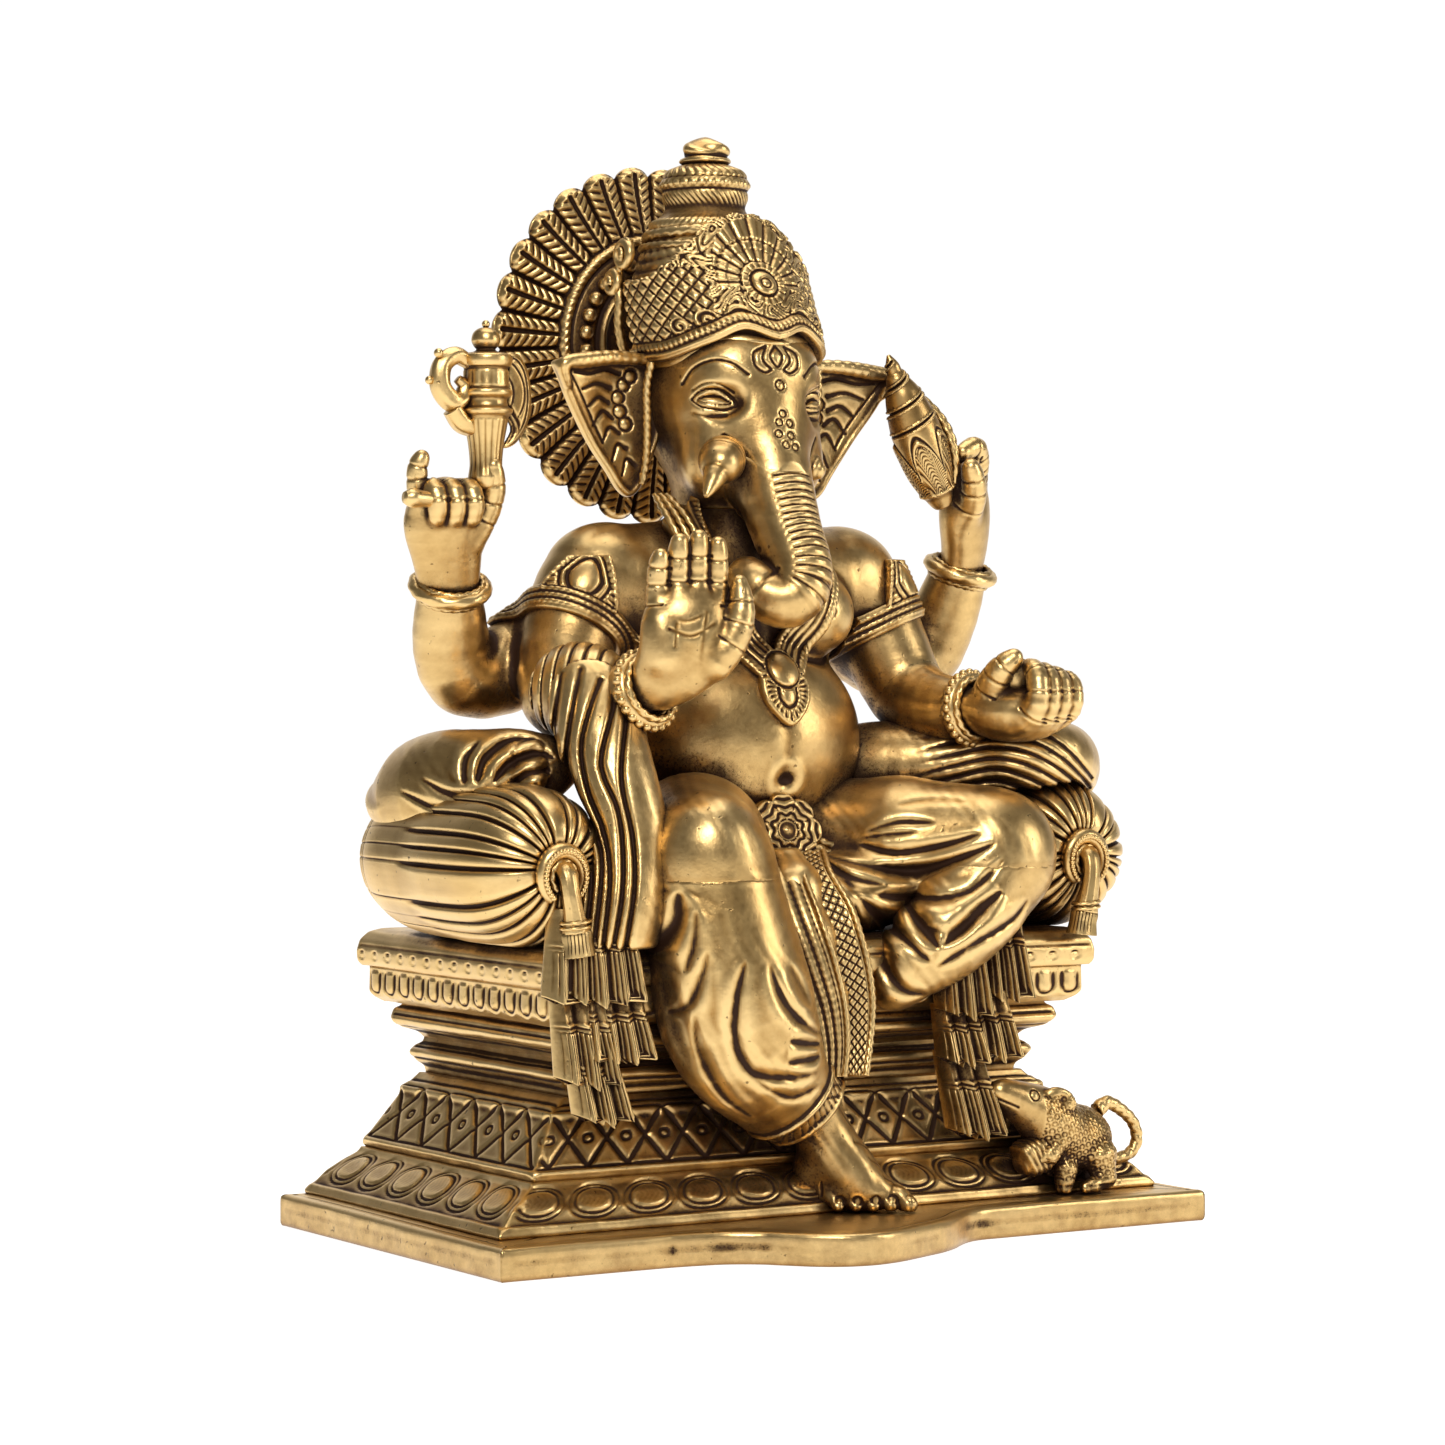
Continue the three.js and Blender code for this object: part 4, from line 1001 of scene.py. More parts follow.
    # Topknot and bud, turned with beading.
    def lathe(name, prof, cx, cy, sides, orn, step=0.35):
        pr = np.array(prof, float)
        seg = np.hypot(np.diff(pr[:, 0]), np.diff(pr[:, 1]))
        run = np.concatenate([[0], np.cumsum(seg)])
        t = np.linspace(0, run[-1], int(run[-1] / step))
        rr, zz = np.interp(t, run, pr[:, 0]), np.interp(t, run, pr[:, 1])
        for _ in range(3):
            rr[1:-1] = 0.25 * rr[:-2] + 0.5 * rr[1:-1] + 0.25 * rr[2:]
            zz[1:-1] = 0.25 * zz[:-2] + 0.5 * zz[1:-1] + 0.25 * zz[2:]
        a = turn(sides)
        disp = orn(a[None], zz[:, None], rr[:, None])
        nz = -np.gradient(rr) / (np.hypot(np.gradient(rr), np.gradient(zz)) + 1e-9)
        R = rr[:, None] + disp * np.sqrt(1 - nz[:, None] ** 2)
        Z = zz[:, None] + disp * nz[:, None]
        rows = np.stack([cx + R * np.cos(a), cy + R * np.sin(a), Z], -1)
        piece(name, Bag().sheet(rows))

    def knot(a, z, r):
        d = 0.45 * np.abs(np.sin(a * 22 + z * 1.5)) * bell(z - 287.2, 1.5)
        d = d + 0.5 * (1 - np.minimum(1, np.hypot(((a * 30 / 3.14159) % 2 - 1) * 1.0, (z - 291.2)
            / 1.1)) ** 2) * (np.abs(z - 291.2) < 1.3)
        d = d + 0.35 * np.abs(np.sin(a * 26 - z * 1.2)) * bell(z - 280.2, 1.1)
        d = d + 0.45 * np.abs(np.sin(a * 14 + 1.4 * np.sin(z))) * bell(z - 294.6, 1.6)
        return d - 0.35 * bell(z - 289.4, 0.35) - 0.35 * bell(z - 293.1, 0.35)

    lathe("topknot", [(12.0, 276.6), (15.2, 277.4), (16.0, 279), (15.4, 280.6), (13.4, 281.8), (12.0, 283.0),
        (11.2, 284.6), (11.5, 286.4), (12.0, 288.6),
                      (12.5, 291.2), (12.1, 293.2), (10.4, 295.2), (7.6, 296.6), (5.2, 297.3), (2.0, 297.4)], 0,
                      19.7, 240, knot)
    lathe("finial", [(3.0, 296.4), (6.0, 296.9), (7.6, 297.8), (7.0, 298.8), (6.0, 299.4), (6.5, 300.2),
        (6.6, 301.0), (5.6, 302.4), (3.6, 303.9), (1.4, 304.8), (0.15, 305.0)],
          0, 19.7, 120, lambda a, z, r: 0.75 * np.cos(3 * a + 0.8 * (z - 298)) * bell(z - 301.4, 2.0) - 0.3
          * bell(z - 299.4, 0.3))


# ------------------------------------------------------------------ halo
def make_halo():
    N, R, c = 27, 51.4, 248.0
    b = Bag()
    a = turn(N * 32)
    f = (a * N / (2 * np.pi)) % 1.0
    w = np.abs(2 * f - 1)
    r = np.concatenate([np.linspace(12, 31.5, 50), np.linspace(31.8, 51.4, 74)])
    rim = R - 2.6 * w ** 2.2
    rr = np.minimum(r[:, None], rim[None] * np.ones((len(r), 1)))
    s = np.clip((rr - 31.5) / (R - 31.5), 0, 1)
    feather = 2.2 * (1 - w[None] ** 2) ** 0.6 + 0.4
    barb = 0.62 * np.abs(np.sin(rr * 1.25 - 3.6 * w[None])) ** 0.8 * fade(w[None], 0.1, 0.3) * fade(w[None],
        1.0, 0.8)
    quill = -0.85 * bell(w[None], 0.11) * fade(s, 0.98, 0.86) + 0.3 * bell(w[None] - 0.2, 0.06)
    front = feather * (0.6 + 0.4 * s) + barb * (s > 0.04) + quill - 0.9 * bell(w[None] - 1.0, 0.10)
    front = np.where(rr > 31.5, front, 1.2 + 0 * rr)
    # Rope ring, plain ring and bead seats inside the feathers.
    front = front + np.where((rr > 28.6) & (rr <= 31.5),
        1.6 * np.sqrt(np.clip(1 - ((rr - 30.1) / 1.5) ** 2, 0, 1))
        * (0.75 + 0.25 * np.abs(np.sin(a[None] * 42 + rr))), 0)
    front = front + np.where(rr <= 28.6, -0.5 * bell(rr - 28.2, 0.4) - 0.6 * bell(rr - 20.6, 0.5) + 1.0
        * bell(rr - 18.6, 1.0), 0)
    edge = 1 - fade(rr, rim[None] - 1.6, rim[None])
    front = front * (0.25 + 0.75 * edge) * 1.0
    depth = 44.6 + 5.2 * fade(rr, 16, 49)
    yf = depth - front + 1.5
    yb = depth + 3.1 - 1.6 * (1 - edge)
    ca, sa = np.cos(a), np.sin(a)
    fr = np.stack([rr * sa, yf, c + rr * ca], -1)
    ribs = 0.35 * (w[None] < 0.85)
    bk = np.stack([rr * sa, yb + ribs, c + rr * ca], -1)[::-1]
    rows = np.concatenate([fr, bk])
    b.sheet(rows, caps=True)
    k = 30
    t = turn(k)
    b.beads(np.stack([24.4 * np.sin(t), np.full(k, 44.6), c + 24.4 * np.cos(t)], 1), 2.15, n=14)
    piece("halo", b, slot="aged_brass")


# ------------------------------------------------------------------ body
ARM_R = [(-42, 10, 180, 14.2), (-49, 7.5, 170, 13.6), (-55.5, 3, 158, 12.2), (-60, -4, 148, 11.2),
    (-59.5, -14, 145.5, 10.6), (-57.5, -26, 146.5, 9.4), (-53, -40, 150, 7.2)]
ARM_L = [(42, 10, 180, 14.2), (47.5, 8, 170, 13.4), (51.5, 3.5, 159, 12.0), (54, -2, 148.5, 11.0),
    (55, -11, 144, 10.4), (56.5, -21, 143.4, 9.0), (59, -32, 144, 7.2)]
REAR_R = [(-38, 15, 172, 13.5), (-52, 19, 161.5, 12.6), (-65, 21, 154.5, 11.8), (-76, 21, 153.5, 11.2),
    (-81.5, 19, 161, 10.3), (-84.3, 15, 170, 9.3), (-86.5, 11, 179, 7.6)]
REAR_L = [(38, 15, 172, 13), (51, 18, 163, 12.2), (64, 20, 157, 11.2), (73.5, 20, 157.5, 10.6),
    (78.5, 17.5, 166, 9.8), (81, 14, 176, 8.8), (82, 10.5, 185, 7.2)]


def body(p):
    d = ell(p, (0, 1, 135), (36.5, 25, 31))
    d = smin(d, ell(p, (0, 7, 173), (41, 18.5, 22)), 8)
    d = smin(d, cone(p, (-36, 10, 181), (36, 10, 181), 14, 14), 9)
    d = smin(d, cone(p, (0, 9, 188), (0, 8, 206), 17, 14.5), 7)
    for s in (-1, 1):
        d = smin(d, ell(p, (s * 17, -6.5, 170.5), (14.5, 10.5, 12.5)), 2.6)
    d = smin(d, ell(p, (0, 6, 98), (38, 27, 18)), 7)
    d = smin(d, ell(p, (0, 22, 160), (30, 11, 30)), 8)
    return d


def figure(p):
    d = body(p)
    for arm in (ARM_R, ARM_L):
        d = smin(d, chain(p, smooth_path(arm, 13), 1.5), 4.5)
    for arm in (REAR_R, REAR_L):
        d = smin(d, chain(p, smooth_path(arm, 13), 1.5), 4.0)
    return d


def half(p, c, n):
    """Negative on the side of the plane through c that n points away from."""
    n = unit(n)
    return (p[0] - c[0]) * n[0] + (p[1] - c[1]) * n[1] + (p[2] - c[2]) * n[2]


SPLIT = {
    "ra": ((-50.5, 7, 168.5), (-0.5, -0.22, -0.84)), "la": ((48.8, 7, 168.5), (0.35, -0.28, -0.9)),
    "re": ((-60, -6, 147), (0.1, -0.82, -0.5)), "le": ((54, -4, 147.5), (0.15, -0.75, -0.6)),
    "rw": ((-54.5, -36, 149), (0.3, -0.9, 0.25)), "lw": ((58, -28, 143.8), (0.2, -0.97, 0.05)),
    "rra": ((-41, 17, 170), (-0.8, 0.1, -0.6)), "rla": ((41, 17, 170), (0.8, 0.1, -0.6)),
    "rre": ((-77, 21, 155), (-0.75, -0.1, 0.6)), "rle": ((74.5, 20, 159), (0.7, -0.15, 0.7)),
    "rrw": ((-85.8, 12, 176), (-0.2, -0.45, 0.87)), "rlw": ((81.8, 11.5, 182), (0.1, -0.4, 0.9)),
}


LIMB = {"ra": ARM_R, "re": ARM_R, "rw": ARM_R, "la": ARM_L, "le": ARM_L, "lw": ARM_L, "rra": REAR_R,
    "rre": REAR_R, "rrw": REAR_R, "rla": REAR_L, "rle": REAR_L, "rlw": REAR_L}


def part(name, lo, hi, keep, h=0.5, carve=None):
    """A piece of the figure, cut at the named planes (sign +1 keeps the near side); each cut reaches only round its own limb."""
    g = Grid(lo, hi, h)
    p = g.p
    d = figure(p)
    for key, sign in keep:
        c, n = SPLIT[key]
        limb = chain(p, smooth_path(LIMB[key], 13), 1.5) - 2.0
        far = np.maximum(-half(p, c, n), limb)
        d = np.maximum(d, -far - 0.05 if sign > 0 else far - 1.7)
    d = g.full(d)
    if carve:
        i, q = g.near(d, 3.0)
        d[i] += carve(q)
    return piece(name, Bag().field(d, g))


def make_body():
    def marks(q):
        x, y, z = q
        f = y < 4
        cut = 0.0 * x
        r = np.hypot(x - 0.5, z - 124.5)
        cut = cut + np.where(f, 2.0 * bell(np.hypot(x - 0.5, (z - 124.5) * 1.3), 2.2) - 0.35
            * bell(r - 5.2, 1.6), 0)
        # The fold above the navel and under the breasts.
        for pts, w, dep in (([(-12, 119.5), (-5, 117.8), (3, 118.2)], 1.6, 0.5),
            ([(-30, 163), (-22, 157.2), (-13, 157.4), (-5, 161)], 0.9, 0.9),
                            ([(30, 163), (22, 157.2), (13, 157.4), (5, 161)], 0.9, 0.9),
                            ([(0, 128), (0.4, 134), (0, 142)], 2.4, 0.35)):
            rr, _ = track((x, z), smooth_path(pts, 14))
            cut = cut + np.where(f, dep * bell(rr, w), 0)
        rr = np.hypot(np.abs(x) - 19, z - 171.0)
        return cut + np.where(f, 0.35 * bell(rr - 1.5, 0.4) - 0.4 * bell(rr, 1.0), 0)

    part("torso", (-62, -32, 81.5), (62, 44, 212), [("ra", 1), ("la", 1), ("rra", 1), ("rla", 1)], 0.55, marks)
    part("right_upper_arm", (-76, -20, 132), (-34, 26, 176), [("ra", -1), ("re", 1)], 0.5)
    part("left_upper_arm", (32, -18, 131), (68, 26, 176), [("la", -1), ("le", 1)], 0.5)
    part("right_forearm", (-74, -42, 132), (-40, 6, 164), [("re", -1), ("rw", 1)], 0.5)
    part("left_forearm", (40, -34, 130), (70, 8, 162), [("le", -1), ("lw", 1)], 0.5)
    part("rear_right_upper_arm", (-94, 2, 134), (-34, 38, 184), [("rra", -1), ("rre", 1), ("ra", 1)], 0.55)
    part("rear_left_upper_arm", (34, 2, 136), (90, 38, 184), [("rla", -1), ("rle", 1), ("la", 1)], 0.55)
    part("rear_right_forearm", (-98, 2, 140), (-66, 36, 184), [("rre", -1), ("rrw", 1)], 0.5)
    part("rear_left_forearm", (62, 2, 142), (94, 34, 190), [("rle", -1), ("rlw", 1)], 0.5)


def digit(p, pts, k=0.9):
    return chain(p, smooth_path(pts, 9), k)


def hand(lo, hi, palm, digits, wrist, h=0.34, grooves=(), blend=1.8):
    g = Grid(lo, hi, h)
    p = g.p
    d = None
    for pts, k, flat in palm:
        e = chain(p, smooth_path(pts, 8), k, flat)
        d = e if d is None else smin(d, e, 3)
    fingers = None
    for pts in digits:
        e = digit(p, pts)
        fingers = e if fingers is None else smin(fingers, e, 0.5)
    d = smin(d, fingers, blend)
    c, n = wrist
    d = g.full(np.maximum(d, -half(p, c, n)))
    i, q = g.near(d, 2.0)
    cut = 0 * q[0]
    for pts in digits:
        s = smooth_path(pts, 9)
        for f in (2, 4, 6):
            r = np.sqrt(sum((q[k] - s[f][k]) ** 2 for k in range(3)))
            t = s[f + 1][:3] - s[f - 1][:3]
            t /= np.linalg.norm(t)
            along = sum((q[k] - s[f][k]) * t[k] for k in range(3))
            cut = np.maximum(cut, 0.32 * bell(along, 0.38) * (r < s[f][3] + 1.3))
    for pts, w, dep in grooves:
        r, _ = track(q, smooth_path(pts, 12))
        cut = np.maximum(cut, dep * bell(r, w))
    d[i] += cut
    return Bag().field(d, g)


def make_hands():
    # Open right palm, raised.
    n = (-0.26, -0.97, 0.0)
    w = np.array([0.966, -0.26, 0])
    c = np.array([-47.0, -48.3, 0])

    def at(s, z, out=0.0):
        q = c + w * s + np.array(n) * out
        return (q[0], q[1], z)

    digits = []
    for s, z2, r in ((-8.6, 187.6, 2.9), (-3.1, 191.6, 3.1), (2.5, 192.6, 3.1), (8.0, 190.8, 3.0)):
        digits.append([(*at(s * 0.94, 166, 0), r + 0.2), (*at(s * 0.97, 173.5, -0.6), r - 0.05),
            (*at(s * 0.98, (174 + z2) / 2, 0.2), r - 0.25), (*at(s * 0.95, z2 - r, 1.4), r - 0.75)])
    digits.append([(*at(7, 157, 1.5), 5.0), (*at(11.5, 163.5, 2.5), 4.4), (*at(13.6, 171, 2.8), 3.5),
        (*at(13.4, 177.8, 1.8), 2.2)])
    palm = [([(-52.8, -41, 151, 7.2), (-50, -45.5, 156, 9.8), (*at(0, 162, 0), 11.8),
        (*at(0.2, 166.5, 0), 11.2)], 1.5, (n, 0.52)),
            ([(*at(-7, 158, 1.8), 4.4), (*at(-8.4, 167, 1.0), 4.0)], 1, None)]
    g1 = [([at(-8, 169.4, 6), at(-2, 167.8, 6.4), at(5, 170.6, 6)], 0.5, 0.7),
        ([at(-7, 165.6, 6), at(-1, 163.8, 6.6), at(5.5, 167, 6)], 0.5, 0.7),
          ([at(3.4, 170, 6), at(2.2, 163, 6.8), at(1.6, 156, 6.6)], 0.65, 0.8),
          ([at(-5, 167, 6), at(-5.5, 161, 6.5)], 0.5, 0.4)]
    b = hand((-66, -60, 144), (-28, -36, 196), palm, digits, ((-54.5, -36.5, 149), (0.3, -0.9, 0.25)),
        grooves=g1)
    piece("right_hand", b)

    # Left hand, palm up, fingers closing over a sweet.
    digits = []
    for i in range(4):
        r = (3.3, 3.3, 3.2, 2.9)[i]
        digits.append([(62.5 + 3.9 * i, -44 - 0.4 * i, 139.4 + 0.4 * i, r + 0.2),
            (63.6 + 3.95 * i, -50.4 - 0.3 * i, 142.5 + 0.3 * i, r), (64.2 + 3.9 * i, -52.2, 148.5, r - 0.1),
                       (64.8 + 3.7 * i, -50, 153.8 - 0.7 * i, r - 0.4), (65.4 + 3.4 * i, -46.2, 155.4 - 1.1 * i,
                       r - 0.8)])
    digits.append([(58.5, -36, 146.5, 4.9), (57.2, -40.5, 151.2, 4.3), (57.6, -44.0, 155.0, 3.6),
        (60.0, -46.2, 158.0, 2.6)])
    palm = [([(58.8, -31, 144, 7.4), (62.5, -37, 142.2, 9.4), (67.5, -43, 142.4, 10.0)], 1.5,
        ((0.1, 0.1, 1), 0.74))]
    b = hand((48, -58, 128), (84, -26, 163), palm, digits, ((58.4, -29, 143.8), (0.2, -0.97, 0.05)))
    piece("left_hand", b)
    g = Grid((56, -49, 146), (70, -36, 161), 0.35)
    d = ell(g.p, (63.6, -42.4, 153.2), (4.8, 4.6, 5.2))
    i, q = g.near(np.broadcast_to(d, g.n), 1.2)
    d = g.full(d)
    a = np.arctan2(q[1] + 42.4, q[0] - 63.6)
    d[i] += 0.3 * np.abs(np.sin(a * 4)) * fade(q[2], 150, 154)
    piece("sweet", Bag().field(d, g))

    # Rear right hand, closed on the axe shaft with the rod's butt out to the side.
    digits = []
    for x, y in ((-96.6, 3.0), (-91.7, 1.6), (-87.0, 0.6)):
        digits.append([(x, y + 4.5, 195, 3.1), (x - 0.2, y + 3.2, 201.5, 3.0), (x - 0.2, y - 1.6, 203.2, 2.9),
            (x, y - 4.4, 199.8, 2.7), (x + 0.2, y - 3.6, 195.6, 2.3)])
    digits.append([(-97, 5.5, 196, 3.2), (-99.4, 4.5, 203, 2.9), (-100.2, 3.6, 208.5, 2.5),
        (-99.4, 2.6, 211.5, 2.1)])
    digits.append([(-83.8, 4, 190, 4.0), (-80.6, 1.5, 197, 3.6), (-79.6, -1.0, 203.5, 3.2),
        (-80.6, -2.8, 209.5, 2.4)])
    palm = [([(-86.8, 11, 177, 7.6), (-88.6, 8.5, 185, 8.8), (-91, 6, 193.5, 10.2), (-91, 5, 197, 9.4)], 1.5,
        ((-0.35, -0.94, 0), 0.66))]
    b = hand((-108, -10, 168), (-72, 24, 216), palm, digits, ((-85.9, 11.6, 176.6), (-0.2, -0.45, 0.87)))
    rod = smooth_path([(-96, -0.4, 200, 2.2), (-101, -1.0, 200.3, 2.3), (-104.5, -1.2, 200.5, 2.6),
        (-106.6, -1.2, 200.6, 1.6)], 24)
    b.tube(rod[:, :3], rod[:, 3], 12)
    piece("rear_right_hand", b)

    # Rear left hand, fingers round the conch.
    digits = []
    for i in range(4):
        digits.append([(82.0 + 1.2 * i, 7 + 2.0 * i, 206.5 - 1.4 * i, 3.3), (82.6 + 1.4 * i, 3.0 + 2.4 * i,
            213.5 - 2.2 * i, 3.1), (78.6 + 1.6 * i, -1.4 + 2.8 * i, 218.6 - 3.4 * i, 2.9),
                       (73.0 + 1.8 * i, -3.0 + 3 * i, 217.0 - 3.8 * i, 2.4)])
    digits.append([(77, 3, 197, 4.2), (76.6, -2.5, 203, 3.8), (75.0, -5.6, 208.4, 3.3),
        (73.0, -7.0, 212.4, 2.7)])
    palm = [([(82.0, 10.5, 183, 7.3), (81.4, 8, 191, 8.4), (80, 6, 199, 9.4), (79.4, 5.4, 206.5, 8.6)], 1.5,
        ((0.5, -0.86, 0), 0.68))]
    b = hand((62, -14, 175), (98, 26, 222), palm, digits, ((81.9, 11.2, 182.6), (0.1, -0.4, 0.9)))
    piece("rear_left_hand", b)


def make_bangles():
    def hoop(b, c, n, r, wire, **kw):
        n = unit(n)
        u = np.cross(n, (0, 0, 1.0))
        if np.linalg.norm(u) < 0.2:
            u = np.cross(n, (1.0, 0, 0))
        u /= np.linalg.norm(u)
        v = np.cross(n, u)
        a = turn(kw.pop("m", 220))
        P = np.array(c) + r * (np.cos(a)[:, None] * u + np.sin(a)[:, None] * v)
        b.tube(P, wire, closed=True, **kw)
        return P

    for name, c, n, r in (("right_bangle", (-53.7, -37.5, 149.4), (0.25, -0.92, 0.28), 9.4),
        ("left_bangle", (57.9, -28.5, 143.8), (0.2, -0.97, 0.05), 9.0)):
        b = Bag()
        nn = unit(n)
        hoop(b, c, n, r - 0.6, 1.9, sides=12)
        P = hoop(b, np.array(c) + nn * 2.2, n, r - 0.9, 1.2, sides=10, twist=0.34, strands=3, depth=0.4)
        hoop(b, np.array(c) - nn * 2.2, n, r - 0.6, 1.2, sides=10, twist=0.34, strands=3, depth=0.4)
        a = turn(24)
        u = np.cross(nn, (0, 0, 1.0))
        u /= np.linalg.norm(u)
        v = np.cross(nn, u)
        b.beads(np.array(c) + (r + 0.9) * (np.cos(a)[:, None] * u + np.sin(a)[:, None] * v), 1.35, n=12)
        piece(name, b)
    for name, c, n, r in (("rear_right_bangle", (-86, 11.6, 177.2), (-0.15, -0.45, 0.88), 9.6),
        ("rear_left_bangle", (82, 11, 183.4), (0.1, -0.35, 0.93), 9.2)):
        b = Bag()
        nn = unit(n)
        hoop(b, c, n, r, 2.0, sides=14, twist=0.16, strands=4, depth=0.16)
        hoop(b, np.array(c) - nn * 2.5, n, r - 0.9, 1.0, sides=10, twist=0.4, strands=3, depth=0.4)
        hoop(b, np.array(c) + nn * 1.7, n, r - 0.9, 1.0, sides=10, twist=0.4, strands=3, depth=0.4)
        piece(name, b)
    # Armlets: three cords and a pointed plaque with a drop-shaped stone.
    for name, key, s in (("right_armlet", "ra", -1), ("left_armlet", "la", 1)):
        c, n = SPLIT[key]
        n = unit(n)
        lo = (-72, -18, 150) if s < 0 else (32, -18, 150)
        hi = (-34, 26, 186) if s < 0 else (68, 26, 186)
        g = Grid(lo, hi, 0.38)
        p = g.p
        base = figure(p)
        t = -half(p, c, n)
        # Round the arm: angle from the outward front.
        e1 = np.array([s * 0.55, -0.84, 0.0])
        e1 = unit(e1 - n * (e1 @ n))
        e2 = np.cross(n, e1)
        px, py, pz = p[0] - c[0], p[1] - c[1], p[2] - c[2]
        a1 = px * e1[0] + py * e1[1] + pz * e1[2]
        a2 = px * e2[0] + py * e2[1] + pz * e2[2]
        ang = np.arctan2(a2, a1)
        u = ang * 13.2
        band = np.abs(t + 1.5) - 3.6
        plaque = np.maximum(np.abs(u) - 10.5 * np.clip(1 - (t - 1.5) / 17.5, 0, 1) ** 0.75,
            np.maximum(t - 18.5, -4.5 - t))
        shape = np.minimum(band, plaque)
        d = smax(np.abs(base - 0.6) - 1.0, shape, 0.5)
        d = g.full(d)
        i, _ = g.near(d, 2.4)
        uu, tt = np.broadcast_to(u, g.n)[i], np.broadcast_to(t, g.n)[i]
        pl, bs = np.broadcast_to(plaque, g.n)[i], np.broadcast_to(base, g.n)[i]
        h = 0 * uu
        for k in (-3.4, -1.5, 0.4):
            h = h + 0.75 * bell(tt - k, 0.62) * (0.7 + 0.3 * np.abs(np.sin(uu * 1.9 + tt)))
        drop = np.hypot(uu * (1 + 0.10 * np.clip(tt - 6, 0, 9)), (tt - 6.0) * 0.72)
        inp = pl < -0.2
        h = np.where(inp & (tt > 1.4), 0.4 + 0.9 * np.sqrt(np.clip(1 - (drop / 3.6) ** 2, 0, 1)) - 0.6
            * bell(drop - 4.2, 0.4) + 0.5 * bell(drop - 5.3, 0.45)
                     - 0.5 * bell(drop - 6.3, 0.35) + 0.35 * np.abs(np.sin(np.arctan2(uu, tt - 4) * 14))
                     * (drop > 6.5), h)
        h = h + 0.6 * bell(pl + 0.9, 0.5) * (tt > 0)
        d[i] -= np.where(bs > 0.1, h, 0)
        piece(name, Bag().field(d, g))


